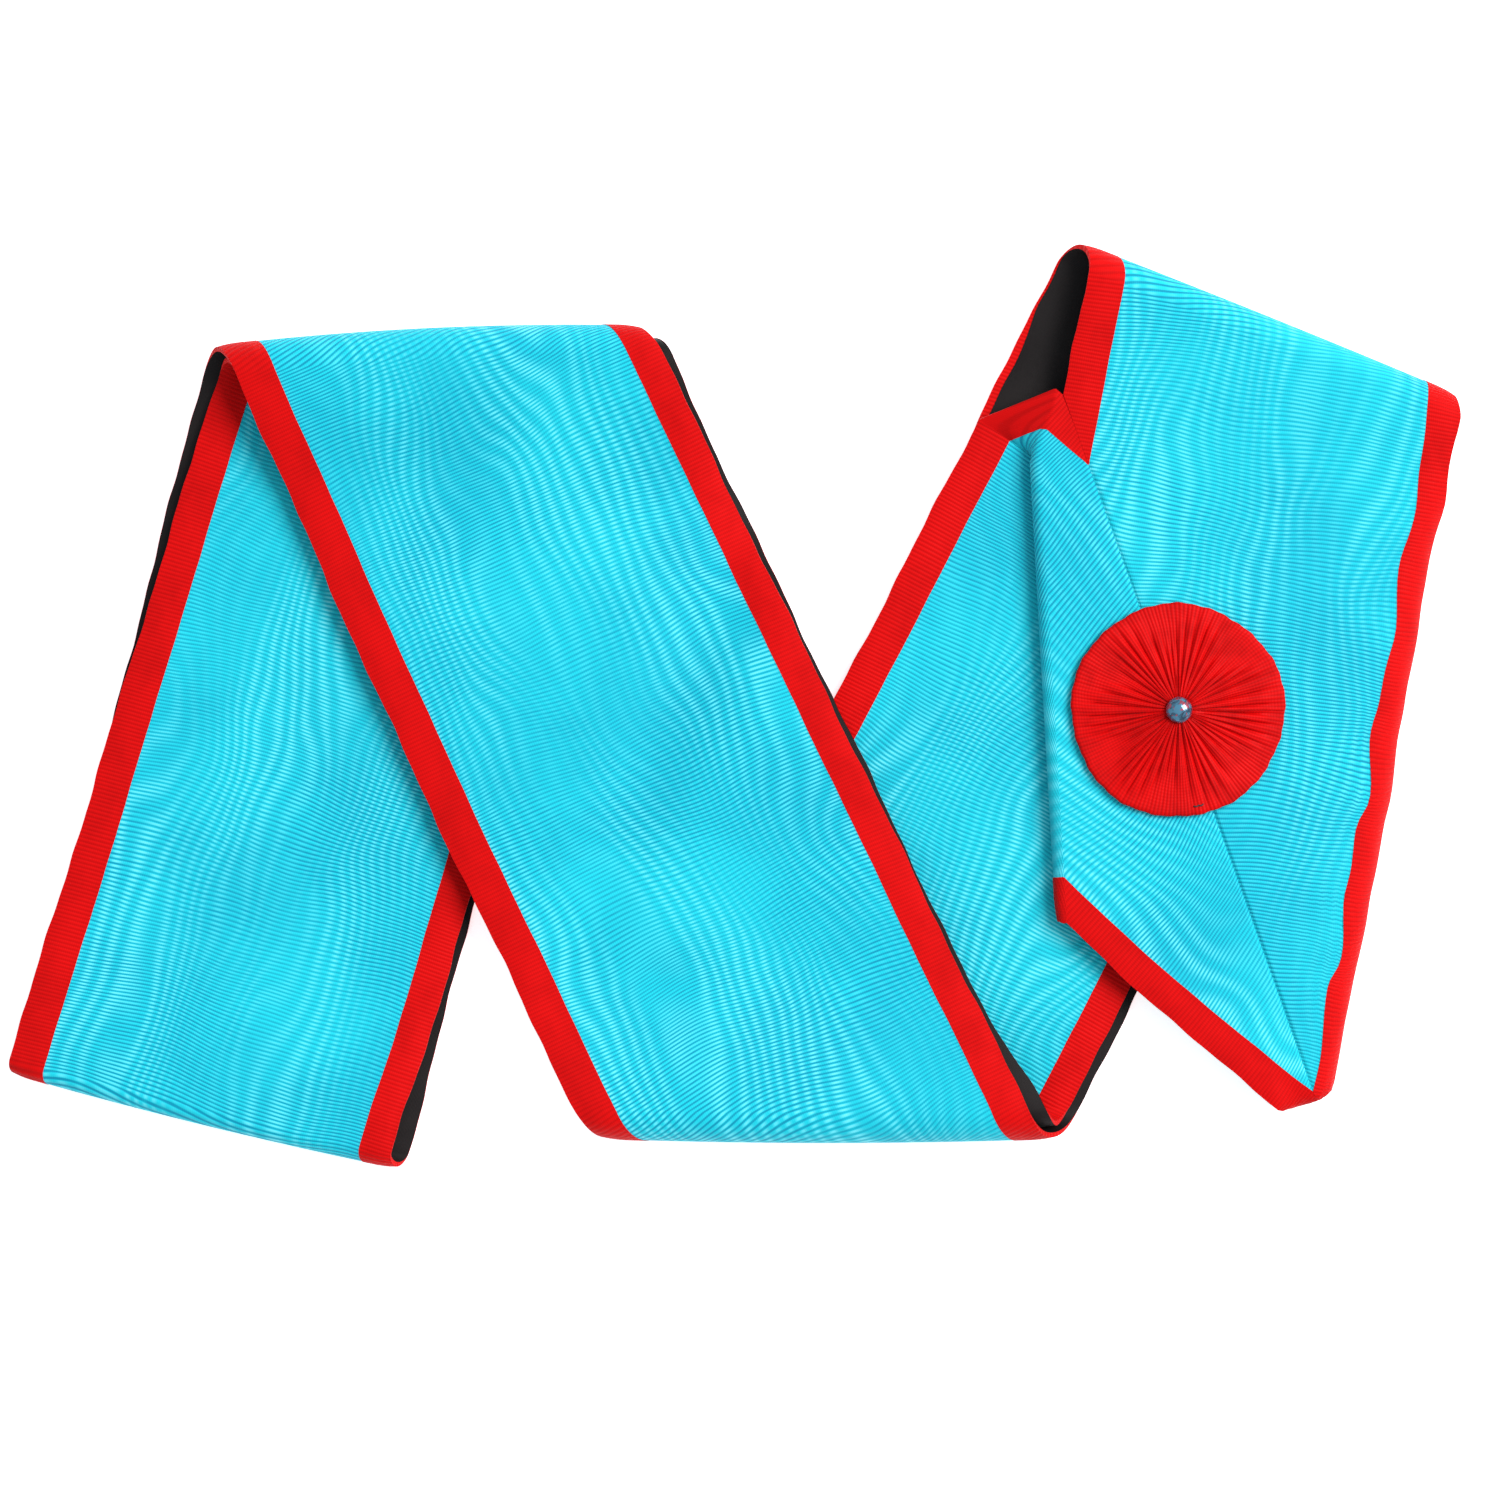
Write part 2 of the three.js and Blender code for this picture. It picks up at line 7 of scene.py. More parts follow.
import bpy
import numpy as np
from bpy.props import FloatProperty, FloatVectorProperty, IntProperty, PointerProperty
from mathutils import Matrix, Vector


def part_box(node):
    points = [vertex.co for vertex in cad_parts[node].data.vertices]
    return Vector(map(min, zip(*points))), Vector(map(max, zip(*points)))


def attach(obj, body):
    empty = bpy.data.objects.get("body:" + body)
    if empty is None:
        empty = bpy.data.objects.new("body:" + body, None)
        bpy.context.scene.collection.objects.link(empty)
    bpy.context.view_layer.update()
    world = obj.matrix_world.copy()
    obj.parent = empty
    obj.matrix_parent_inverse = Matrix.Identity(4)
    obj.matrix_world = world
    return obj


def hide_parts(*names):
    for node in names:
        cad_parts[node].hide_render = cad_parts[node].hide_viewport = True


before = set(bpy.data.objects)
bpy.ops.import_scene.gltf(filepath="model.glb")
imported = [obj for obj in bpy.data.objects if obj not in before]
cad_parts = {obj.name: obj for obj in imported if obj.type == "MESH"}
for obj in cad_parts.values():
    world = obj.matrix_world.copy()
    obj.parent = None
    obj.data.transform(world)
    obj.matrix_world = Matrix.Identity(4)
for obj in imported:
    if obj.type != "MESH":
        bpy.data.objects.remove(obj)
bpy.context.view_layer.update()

bl_info = {
    "name": "Order Sash",
    "version": (1, 0, 0),
    "blender": (4, 5, 0),
    "location": "3D View > Sidebar > Sash",
    "description": "Makes the cloth, the rosette and the stage of an order's sash",
    "category": "Object",
}

MM = 0.001

# The band's build.
BAND_WIDTH = 101.6 * MM
INNER_EDGE_WIDTH = 9.4 * MM
OUTER_EDGE_WIDTH = 8.4 * MM
BAND_WALL = 2.3 * MM
LAYER_GAP = 0.7 * MM
PIECE_GAP = 0.3 * MM
HALF_WALL = BAND_WALL / 2

# Room inside the folds, from the cloth to the middle of the roll.
ZIGZAG_ROLL_ROOM = 3.1 * MM
SHOULDER_ROLL_ROOM = 4.6 * MM
END_ROLL_ROOM = 1.9 * MM
DART_ROLL_ROOM = 0.45 * MM

# Centreline lengths of the visible legs.
SHOULDER_LEG = 110.6 * MM
RIGHT_LEG = 219.5 * MM
MIDDLE_LEG = 208.8 * MM
LEFT_LEG = 195.2 * MM
MITRE_LEG = 50 * MM
DART_SETBACK = 15.6 * MM
CREST_TUCK = 7 * MM
CREST_TUCK_WIDTH = 17 * MM

# How the legs rise into the folds and sink where nothing lies below them.
PUFF_LENGTH = 42 * MM
END_PUFF_LENGTH = 48 * MM
BRIDGE_SAG = 2.6 * MM
BRIDGE_BLEND = 26 * MM
BRIDGE_MARGIN = 16 * MM
OVERHANG_BLEND = 60 * MM
OVERHANG_MARGIN = 5 * MM

# The mitre's free outer edge curls down, most of all at the tip.
CURL_WIDTH = 9 * MM
SIDE_CURL = math.radians(57)
TIP_CURL = math.radians(92)
TIP_CLEARANCE = 0.4 * MM
# The point is tucked under: how far short of the seam's end it starts, and what is left of it.
TIP_TUCK_START = 17.3 * MM
TIP_TUCK_LENGTH = 2.2 * MM
TIP_TUCK_DROP = 0.55
CURL_TIP_END = 0.45
CURL_SHOULDER_END = 0.8
CURL_MITRE_START = 0.78

# Directions of travel in degrees from +X, walking the loop from the mitre's seam.
HEADING = {
    "shoulder": 80.2,
    "right_outer": -116.3,
    "middle_outer": 115.24,
    "left_outer": -104.6,
    "left_inner": 73.1,
    "middle_inner": -64.4,
    "right_inner": 62.5,
    "dart": -132.9,
    "mitre": -40.6,
}

# Each fold's line in degrees from +X, its creep along the line and its crown in band widths, and
# how much wider the band lies where it enters and leaves the fold.
FOLDS = {
    "shoulder": {"angle": -22, "creep": -0.0816, "crown": 0.004, "widen": (-0.022, 0)},
    "lower_outer": {"angle": 0, "creep": -0.153, "crown": 0.01, "widen": (0, 0.025)},
    "upper_outer": {"angle": 2.7, "creep": -0.115, "crown": 0.018, "widen": (-0.015, 0)},
    "end": {"angle": -13.8, "creep": -0.03, "crown": 0.01, "widen": (0, 0)},
    "upper_inner": {"angle": 2.7, "creep": 0.0706, "crown": 0.018, "widen": (0, 0)},
    "lower_inner": {"angle": 0, "creep": 0.0945, "crown": 0.01, "widen": (0, 0)},
}

# Rows of the mesh along the loop.
ROW_SPACING = 2.3 * MM
FOLD_ROWS = 26
DART_ROWS = 12
NORMAL_STEP = 0.2 * MM
SEAM_ROWS = (0.25, 0.5, 0.8, 1.2, 1.7)
SEAM_DIP = 0.55 * MM
SEAM_REACH = 1.8 * MM
SEAM_MITRE = 4 * MM

# The cloth's thickness, and how the band thins towards its edges.
CLOTH = 0.5 * MM
LINING_CLOTH = 0.4 * MM
EDGE_HALF_WALL = 0.62 * MM
EDGE_ROUNDING = 5.0 * MM
BINDING_LIP = 0.03 * MM
SEAM_GAP = 0.04 * MM
HEM_OVERLAP = 0.5 * MM
NOSE_LENGTH = 0.08 * MM
LIP_CLOTH = 0.3 * MM
LIP_BACK = 0.05 * MM
EDGE_CLOTH = 0.42 * MM
EDGE_TUCK = 0.02 * MM
INSIDE_BEND = 0.4 * MM
INSIDE_BEND_HEIGHT = 0.1 * MM
LINING_INSET = 0.1 * MM
HEM_STEP = 0.12 * MM

# Soft unevenness of the laid cloth. One row for each wave: height, then wavelengths along and
# across the band, and phase.
RIPPLES = (
    (0.17 * MM, 83 * MM, 210 * MM, 0.4),
    (0.11 * MM, 47 * MM, -130 * MM, 1.9),
    (0.07 * MM, 29 * MM, 75 * MM, 3.1),
)
PUCKER_HEIGHT = 0.16 * MM
PUCKER_SPACING = 6.8 * MM
PUCKER_REACH = 5.5 * MM
PUCKER_PATCH = 165 * MM
WOBBLES = ((0.22 * MM, 61 * MM, 0.3), (0.13 * MM, 23 * MM, 2.2), (0.07 * MM, 11 * MM, 4.0))
FREE_WOBBLES = ((0.45 * MM, 37 * MM, 1.2), (0.3 * MM, 19 * MM, 0.5))
HEM_WOBBLES = ((0.5 * MM, 39 * MM, 1.1), (0.4 * MM, 22 * MM, 0.2))
HEM_WOBBLE_REACH = 5 * MM
SEAM_CALM = 12 * MM

# Where an edge lies off its leg's straight line. side: 1 outer, -1 inner. start and end: how far
# out it stands beside the folds. bow: how far out in the leg's middle.
DRIFT_REACH = 30 * MM
DRIFTS = {
    "middle_outer": {"side": -1, "start": 0.0, "bow": 1.7 * MM, "end": 0.0},
    "left_inner": {"side": 1, "start": -1.0 * MM, "bow": -1.0 * MM, "end": 0.0},
    "middle_inner": {"side": 1, "start": 0.5 * MM, "bow": 0.0, "end": 3.6 * MM},
    "mitre": {"side": 1, "start": 0.0, "bow": 1.5 * MM, "end": 0.0},
}

# The inner binding turns further over the lining just past the shoulder fold.
WIDE_LIP = 2.0 * MM
WIDE_LIP_START = 14 * MM
WIDE_LIP_RISE = 15 * MM
WIDE_LIP_END = 62 * MM
WIDE_LIP_FIRST = 0.3
WIDE_LIP_FIRST_RISE = 5 * MM

# The rosette and what is sewn on it.
ROSETTE_HOLE = 1.5 * MM
ROSETTE_OFFSET = 17.5 * MM
ROSETTE_HEM = 6 * MM
ROSETTE_ROLL = 0.6 * MM
ROSETTE_UNDER = 0.5 * MM
ROSETTE_NECK_DEPTH = 0.9 * MM
ROSETTE_HALF_CLOTH = 0.2 * MM
PLEAT_POINTS = 10
ROSETTE_RINGS = 40
BUTTON_SEGMENTS = 48

# Waves round the rosette. One row for each: size, number of waves and phase.
PLEAT_SWING = ((0.42, 3, 1.0), (0.3, 7, 2.1), (0.2, 11, 0.0))
RIM_WAVES = ((0.008, 5, 0.0), (0.006, 3, 1.0), (0.004, 17, 0.0), (0.003, 41, 0.0))

# The tack thread: its place out as a share of the rosette's radius, then angles and sizes.
THREAD_OUT = 0.915
THREAD_START = -80.5
THREAD_SWEEP = 5.6
THREAD_HEIGHT = 2.1 * MM
THREAD_HOP_OUT = 0.25 * MM
THREAD_HOP_UP = 0.35 * MM
THREAD_RADIUS = 0.17 * MM
THREAD_STEPS = 12

# The stage.
KEY_PLACE = (1.9, 0.95, 2.6)
KEY_SIZE = 1.8
ROOM_COLOUR = (0.78, 0.91, 1.0)
FLOOR_REACH = 3.0


def unit(angle):
    """The unit vector in plan at an angle in degrees from +X."""
    turn = math.radians(angle)
    return np.array([math.cos(turn), math.sin(turn)])


def ease(share):
    """A smooth step from 0 to 1."""
    x = np.clip(share, 0, 1)
    return x * x * (3 - 2 * x)


def cross(first, second):
    """The flat cross product of two vectors in plan."""
    return first[..., 0] * second[..., 1] - first[..., 1] * second[..., 0]


def lerp(first, second, share):
    """The value a share of the way from first to second."""
    return first + (second - first) * share


def raised(flat, height):
    """Points in space from points in plan and their heights."""
    return np.concatenate([flat, height[..., None]], axis=-1)


def reach(origin, way, line_point, line_way):
    """The distance from origin, along way, to a line."""
    return cross(line_point - origin, line_way) / cross(way, line_way)


class Leg:
    """A straight run of the band: its way, the unit vector to its outer edge and its height."""

    def __init__(self, angle, face_up, level):
        self.way = unit(angle)
        x, y = self.way
        self.across = np.array([y, -x]) if face_up else np.array([-y, x])
        self.level = level


class Gate:
    """The line across the band where a leg meets a fold or the seam."""

    def __init__(self, centre, line_way, owner, widen=0.0):
        self.centre = centre
        self.to_outer = line_way if line_way @ owner.across >= 0 else -line_way
        self.stretch = (1 + widen) / (self.to_outer @ owner.across)
        self.bulge = np.zeros(2)
        self.bend = np.zeros_like

    def point(self, place):
        """Where the place across the band lies on the line, in plan."""
        place = np.asarray(place, dtype=float)[..., None]
        flat = self.centre + self.to_outer * place * self.stretch
        return flat + self.bulge * self.bend(place)


class Fold:
    """Half a turn of the band about a line, from one leg to the next."""

    def __init__(self, centre, row, before, after, radius, width):
        line_way = unit(row["angle"])
        crown = row["crown"] * width
        self.creep = row["creep"] * width
        self.before = before
        self.after = after
        self.radius = radius
        self.entry = Gate(centre, line_way, before, row["widen"][0])
        outward = np.array([-line_way[1], line_way[0]])
        if outward @ before.way < 0:
            outward = -outward
        self.outward = outward
        exit_centre = centre + self.entry.to_outer * self.creep
        self.exit = Gate(exit_centre, line_way, after, row["widen"][1])
        for gate in (self.entry, self.exit):
            gate.bulge = outward
            gate.bend = lambda place: crown * (1 - (2 * place / width) ** 2)
        self.entry_slope = before.way @ self.entry.to_outer / (before.way @ outward)
        self.exit_slope = -(after.way @ self.entry.to_outer) / (after.way @ outward)


class Stretch:
    """A part of the loop: its surface, its travel along the ribbon and its rows."""

    def __init__(self, surface, travel, shares, name, length):
        self.surface = surface
        self.travel = travel
        self.shares = shares
        self.name = name
        self.length = length


def button_place():
    """The middle of the frame's rosette button at its seat, and the height of its top."""
    low, high = (np.array(corner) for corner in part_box("rosette_button"))
    middle = (low + high) / 2
    return np.array([middle[0], middle[1], low[2]]), high[2]


class BandPath:
    """The middle surface of the whole loop, as the part's own solids follow it."""

    def __init__(self, width):
        self.width = width
        self.travelled = 0.0
        self.stretches = []
        self.make_heights()
        self.make_legs()
        self.make_folds()
        self.make_dart()
        self.walk()
        self.offset = np.zeros(3)

    def make_heights(self):
        step = BAND_WALL + LAYER_GAP
        self.inside_radius = HALF_WALL + ZIGZAG_ROLL_ROOM
        self.outside_radius = self.inside_radius + step
        self.shoulder_radius = HALF_WALL + SHOULDER_ROLL_ROOM
        self.end_radius = HALF_WALL + END_ROLL_ROOM
        self.dart_radius = HALF_WALL + DART_ROLL_ROOM
        self.bottom = HALF_WALL
        self.second = HALF_WALL + step
        self.front = self.second + 4 * self.dart_radius
        self.inner_bridge = self.second + step
        self.outer_bridge = self.inner_bridge + step
        curl_depth = CURL_WIDTH / TIP_CURL * (1 - math.cos(TIP_CURL))
        self.overhang_drop = self.front - curl_depth - HALF_WALL - TIP_CLEARANCE

    def make_legs(self):
        self.shoulder = Leg(HEADING["shoulder"], True, self.front)
        self.right_outer = Leg(HEADING["right_outer"], False, self.bottom)
        self.middle_outer = Leg(HEADING["middle_outer"], True, self.outer_bridge)
        self.left_outer = Leg(HEADING["left_outer"], False, self.bottom)
        self.left_inner = Leg(HEADING["left_inner"], True, self.second)
        self.middle_inner = Leg(HEADING["middle_inner"], False, self.inner_bridge)
        self.right_inner = Leg(HEADING["right_inner"], True, self.second)
        self.mitre = Leg(HEADING["mitre"], True, self.front)

    def make_folds(self):
        self.seam_centre = np.zeros(2)
        self.seam_way = unit((HEADING["shoulder"] + HEADING["mitre"] + 180) / 2)
        self.shoulder_fold = self.fold_after(
            self.seam_centre, SHOULDER_LEG, "shoulder",
            self.shoulder, self.right_outer, self.shoulder_radius,
        )
        self.lower_outer = self.fold_after(
            self.shoulder_fold.exit.centre, RIGHT_LEG, "lower_outer",
            self.right_outer, self.middle_outer, self.outside_radius,
        )
        self.upper_outer = self.fold_after(
            self.lower_outer.exit.centre, MIDDLE_LEG, "upper_outer",
            self.middle_outer, self.left_outer, self.outside_radius,
        )
        self.end_fold = self.fold_after(
            self.upper_outer.exit.centre, LEFT_LEG, "end",
            self.left_outer, self.left_inner, self.end_radius,
        )
        self.upper_inner = self.nested_fold(
            self.end_fold, self.upper_outer, "upper_inner", self.left_inner, self.middle_inner,
        )
        self.lower_inner = self.nested_fold(
            self.upper_inner, self.lower_outer, "lower_inner", self.middle_inner, self.right_inner,
        )

    def fold_after(self, start, run, name, before, after, radius):
        """The fold that ends a leg of a given length."""
        return Fold(start + before.way * run, FOLDS[name], before, after, radius, self.width)

    def nested_fold(self, start, outer, name, before, after):
        """An inside fold shares its line in plan with the outside fold that wraps it."""
        centre = start.exit.centre
        run = reach(centre, before.way, outer.entry.centre, unit(FOLDS[name]["angle"]))
        return self.fold_after(centre, run, name, before, after, self.inside_radius)

    def make_dart(self):
        """The valley and the crest fold that turn the band from the right leg to the mitre."""
        crest_way = unit((HEADING["dart"] + HEADING["mitre"]) / 2)
        crest_centre = self.seam_centre - self.mitre.way * MITRE_LEG
        self.crest = Gate(crest_centre, crest_way, self.mitre)
        self.crest.bulge = self.mitre.way
        self.crest.bend = self.crest_tuck
        x, y = self.crest.to_outer
        self.crest_outward = np.array([y, -x])
        if self.crest_outward @ self.mitre.way > 0:
            self.crest_outward = -self.crest_outward

        valley_way = unit((HEADING["right_inner"] + HEADING["dart"]) / 2)
        leg = self.right_inner
        leg_start = self.lower_inner.exit.centre
        inner_corner = self.crest.point(-self.width / 2)
        edge_start = leg_start - leg.across * self.width / 2
        edge_run = (inner_corner - edge_start) @ leg.way - DART_SETBACK
        valley_end = edge_start + leg.way * edge_run
        run = reach(leg_start, leg.way, valley_end, valley_way)
        self.valley = Gate(leg_start + leg.way * run, valley_way, leg)
        x, y = self.valley.to_outer
        self.valley_outward = np.array([y, -x])
        if self.valley_outward @ leg.way < 0:
            self.valley_outward = -self.valley_outward
        forward = leg.way + self.mitre.way
        self.dart_forward = forward / np.linalg.norm(forward)

    def crest_tuck(self, place):
        """How far the crest's inner end is pulled on towards the tip."""
        return CREST_TUCK * ease(1 - (place + self.width / 2) / CREST_TUCK_WIDTH)

    def dart_turn(self, place):
        """The angle through which the band has turned up between the dart's two folds."""
        forward = (self.crest.point(place) - self.valley.point(place)) @ self.dart_forward
        return 2 * np.arctan2(2 * self.dart_radius, np.maximum(forward, 0))

    def dart_roll(self, gate, outward, turn, place, level, rise):
        """A roll from a leg's level through a turn. rise: 1 up, -1 down."""
        flat = gate.point(place) + outward * (self.dart_radius * np.sin(turn))[..., None]
        return raised(flat, level + rise * self.dart_radius * (1 - np.cos(turn)))

    def valley_surface(self, share, place):
        turn = share * self.dart_turn(place)
        return self.dart_roll(self.valley, self.valley_outward, turn, place, self.second, 1)

    def crest_surface(self, share, place):
        turn = (1 - share) * self.dart_turn(place)
        return self.dart_roll(self.crest, self.crest_outward, turn, place, self.front, -1)

    def dart_surface(self, share, place):
        low = self.valley_surface(np.ones_like(share), place)
        high = self.crest_surface(np.zeros_like(share), place)
        return lerp(low, high, share[..., None])

    def past_edge(self, point, owner, on_leg, side):
        """Distance past a leg's edge, on its outer side (1) or its inner side (-1)."""
        return side * ((point - on_leg) @ owner.across) - self.width / 2

    def sink(self, owner, point):
        """How far the band sinks below its level where no other leg lies under it."""
        if owner in (self.middle_outer, self.middle_inner):
            left = np.minimum(
                self.past_edge(point, self.left_outer, self.end_fold.entry.centre, 1),
                self.past_edge(point, self.left_inner, self.end_fold.exit.centre, 1),
            )
            right = np.minimum(
                self.past_edge(point, self.right_outer, self.shoulder_fold.exit.centre, -1),
                self.past_edge(point, self.right_inner, self.lower_inner.exit.centre, -1),
            )
            free = ease((left - BRIDGE_MARGIN) / BRIDGE_BLEND)
            return BRIDGE_SAG * free * ease((right - BRIDGE_MARGIN) / BRIDGE_BLEND)
        if owner in (self.shoulder, self.mitre):
            past = np.minimum(
                self.past_edge(point, self.right_outer, self.shoulder_fold.exit.centre, 1),
                self.past_edge(point, self.right_inner, self.lower_inner.exit.centre, 1),
            )
            return self.overhang_drop * ease((past - OVERHANG_MARGIN) / OVERHANG_BLEND)
        return np.zeros(point.shape[:-1])

    def curl_turn(self, owner, share):
        """How far the free outer edge has turned down, in radians."""
        if owner is self.shoulder:
            side = SIDE_CURL * (1 - ease((share - CURL_SHOULDER_END) / (1 - CURL_SHOULDER_END)))
            return lerp(TIP_CURL, side, ease(share / CURL_TIP_END))
        if owner is self.mitre:
            return TIP_CURL * ease((share - CURL_MITRE_START) / (1 - CURL_MITRE_START))
        return np.zeros_like(share)

    def tuck_tip(self, owner, point):
        """Pulls the mitre's point back towards the seam's middle, so that its end is blunt. Returns
        the new point and how far it moved."""
        if owner not in (self.shoulder, self.mitre):
            return point, np.zeros(point.shape[:-1])
        seam_end = self.width / 2 * Gate(self.seam_centre, self.seam_way, owner).stretch
        past = (self.seam_centre - point) @ self.seam_way - (seam_end - TIP_TUCK_START)
        past = np.maximum(past, 0)
        kept = TIP_TUCK_LENGTH * np.tanh(past / TIP_TUCK_LENGTH)
        return point + self.seam_way * (past - kept)[..., None], past - kept

    def leg_surface(self, owner, start, end, lifts, fade, seam_at):
        """The surface of a leg between two gates, with its extra height at each end. seam_at is the
        share of the leg at which the mitre's seam turns the cloth in."""

        def surface(share, place):
            turn = np.maximum(self.curl_turn(owner, share), 1e-6)
            curl_start = self.width / 2 - CURL_WIDTH
            bend = np.maximum(place - curl_start, 0) / CURL_WIDTH * turn
            curled = np.where(
                place > curl_start, curl_start + CURL_WIDTH / turn * np.sin(bend), place
            )
            drop = CURL_WIDTH / turn * (1 - np.cos(bend))
            first = start.point(curled)
            last = end.point(curled)
            length = np.linalg.norm(last - first, axis=-1)
            flat, tucked = self.tuck_tip(owner, lerp(first, last, share[..., None]))
            drop = np.maximum(drop, TIP_TUCK_DROP * tucked)
            lift = lifts[0] * (1 - ease(share * length / fade))
            lift = lift + lifts[1] * (1 - ease((1 - share) * length / fade))
            if seam_at is not None:
                distance = np.abs(share - seam_at) * length
                on_blue = ease((self.width / 2 - OUTER_EDGE_WIDTH - np.abs(place)) / SEAM_REACH)
                drop = drop + SEAM_DIP * (1 - ease(distance / SEAM_REACH)) * on_blue
            height = owner.level + lift - drop - self.sink(owner, flat)
            return raised(flat, height)

        return surface

    def fold_surface(self, fold, lifts):
        """The surface of a fold: half a turn about its line, from one leg's height to the next."""

        def surface(share, place):
            first = fold.entry.point(place)
            last = fold.exit.point(place)
            low = fold.before.level + lifts[0] - self.sink(fold.before, first)
            high = fold.after.level + lifts[1] - self.sink(fold.after, last)
            out = np.abs(high - low) / 2 * np.sin(np.pi * share)
            pull = math.pi * fold.radius
            slide = pull * fold.entry_slope * share * (1 - share) ** 2
            slide = slide - pull * fold.exit_slope * share ** 2 * (1 - share)
            slide = slide + fold.creep * share ** 2 * (3 - 2 * share)
            slide = slide + (fold.exit.stretch - fold.entry.stretch) * place * share
            flat = first + fold.entry.to_outer * slide[..., None] + fold.outward * out[..., None]
            height = lerp(low, high, (1 - np.cos(np.pi * share)) / 2)
            return raised(flat, height)

        return surface

    def travel_at(self, gate, way, start):
        """Travel along the ribbon where it crosses a gate, for a leg that runs that way."""
        return lambda place: start + (gate.point(place) - gate.centre) @ way

    def add(self, surface, first, last, shares, name="", length=0.0):
        """Adds a stretch, with its travel going evenly from the first value to the last."""
        travel = lambda share, place: lerp(first(place), last(place), share)
        self.stretches.append(Stretch(surface, travel, shares, name, length))

    def add_leg(self, name, start, end, lifts=(0.0, 0.0), fade=PUFF_LENGTH, seam_at=None):
        owner = getattr(self, name)
        run = np.linalg.norm(end.centre - start.centre)
        first = self.travel_at(start, owner.way, self.travelled)
        last = self.travel_at(end, owner.way, self.travelled + run)
        count = max(4, round((run + self.width / 3) / ROW_SPACING))
        shares = np.arange(count) / count
        if seam_at is not None:
            close = np.array(SEAM_ROWS) * MM / run
            extra = close if seam_at == 0 else 1 - close
            shares = np.unique(np.concatenate([shares, extra]))
        surface = self.leg_surface(owner, start, end, lifts, fade, seam_at)
        self.add(surface, first, last, shares, name, run)
        self.travelled += run

    def add_fold(self, fold, lifts=(0.0, 0.0)):
        run = math.pi * fold.radius
        first = self.travel_at(fold.entry, fold.before.way, self.travelled)
        last = self.travel_at(fold.exit, fold.after.way, self.travelled + run)
        self.add(self.fold_surface(fold, lifts), first, last, np.arange(FOLD_ROWS) / FOLD_ROWS)
        self.travelled += run

    def add_dart(self):
        plan = np.linalg.norm(self.crest.centre - self.valley.centre)
        run = plan + 2 * math.pi * self.dart_radius
        first = self.travel_at(self.valley, self.right_inner.way, self.travelled)
        last = self.travel_at(self.crest, self.mitre.way, self.travelled + run)
        shares = np.arange(DART_ROWS) / DART_ROWS
        parts = (
            (self.valley_surface, 0.0, 0.25),
            (self.dart_surface, 0.25, 0.75),
            (self.crest_surface, 0.75, 1.0),
        )
        for surface, begin, finish in parts:
            start = lambda place, at=begin: lerp(first(place), last(place), at)
            end = lambda place, at=finish: lerp(first(place), last(place), at)
            self.add(surface, start, end, shares)
        self.travelled += run

    def seam_gate(self, owner, side):
        """The seam's two gates stand half a gap to each side of the seam line."""
        gate = Gate(self.seam_centre, self.seam_way, owner)
        gate.centre = self.seam_centre + owner.way * side * SEAM_GAP / 2 * gate.stretch
        return gate

    def walk(self):
        """Adds every stretch in turn, from the seam and back to it."""
        shoulder_lift = self.bottom + 2 * self.shoulder_radius - self.front
        zigzag_lift = self.second + 2 * self.inside_radius - self.inner_bridge
        end_lift = self.bottom + 2 * self.end_radius - self.second
        both = (zigzag_lift, zigzag_lift)
        seam_start = self.seam_gate(self.shoulder, 1)
        seam_end = self.seam_gate(self.mitre, -1)
        self.add_leg(
            "shoulder", seam_start, self.shoulder_fold.entry, (0.0, shoulder_lift), seam_at=0.0,
        )
        self.add_fold(self.shoulder_fold, (shoulder_lift, 0.0))
        self.right_leg_start = self.travelled
        self.add_leg("right_outer", self.shoulder_fold.exit, self.lower_outer.entry)
        self.add_fold(self.lower_outer, (0.0, zigzag_lift))
        self.add_leg("middle_outer", self.lower_outer.exit, self.upper_outer.entry, both)
        self.add_fold(self.upper_outer, (zigzag_lift, 0.0))
        self.add_leg("left_outer", self.upper_outer.exit, self.end_fold.entry)
        self.add_fold(self.end_fold, (0.0, end_lift))
        self.add_leg(
            "left_inner", self.end_fold.exit, self.upper_inner.entry,
            (end_lift, 0.0), END_PUFF_LENGTH,
        )
        self.add_fold(self.upper_inner, (0.0, zigzag_lift))
        self.add_leg("middle_inner", self.upper_inner.exit, self.lower_inner.entry, both)
        self.add_fold(self.lower_inner, (zigzag_lift, 0.0))
        self.add_leg("right_inner", self.lower_inner.exit, self.valley)
        self.add_dart()
        self.add_leg("mitre", self.crest, seam_end, seam_at=1.0)
        self.stretches[-1].shares = np.append(self.stretches[-1].shares, 1.0)

    def row_count(self):
        return sum(len(stretch.shares) for stretch in self.stretches)

    def rows(self, places, of_travel=False):
        """Points, or travel, at each row of the loop. places: one row of places across the band for
        all rows, or one for each."""
        places = np.broadcast_to(places, (self.row_count(), np.shape(places)[-1]))
        parts = []
        begin = 0
        for stretch in self.stretches:
            end = begin + len(stretch.shares)
            place = places[begin:end]
            share = np.broadcast_to(stretch.shares[:, None], place.shape)
            parts.append(stretch.travel(share, place) if of_travel else stretch.surface(share, place))
            begin = end
        return np.concatenate(parts)

    def edge_drifts(self):
        """How far each row's inner and outer edges stand out past their straight lines."""
        parts = []
        for stretch in self.stretches:
            parts.append(leg_drift(stretch.name, stretch.shares, stretch.length))
        for i, stretch in enumerate(self.stretches):
            if stretch.name:
                continue
            before = leg_drift(self.stretches[i - 1].name, np.ones(1), 1.0)
            after = leg_drift(self.stretches[i + 1].name, np.zeros(1), 1.0)
            parts[i] = lerp(before, after, ease(stretch.shares))
        return np.concatenate(parts, axis=1)

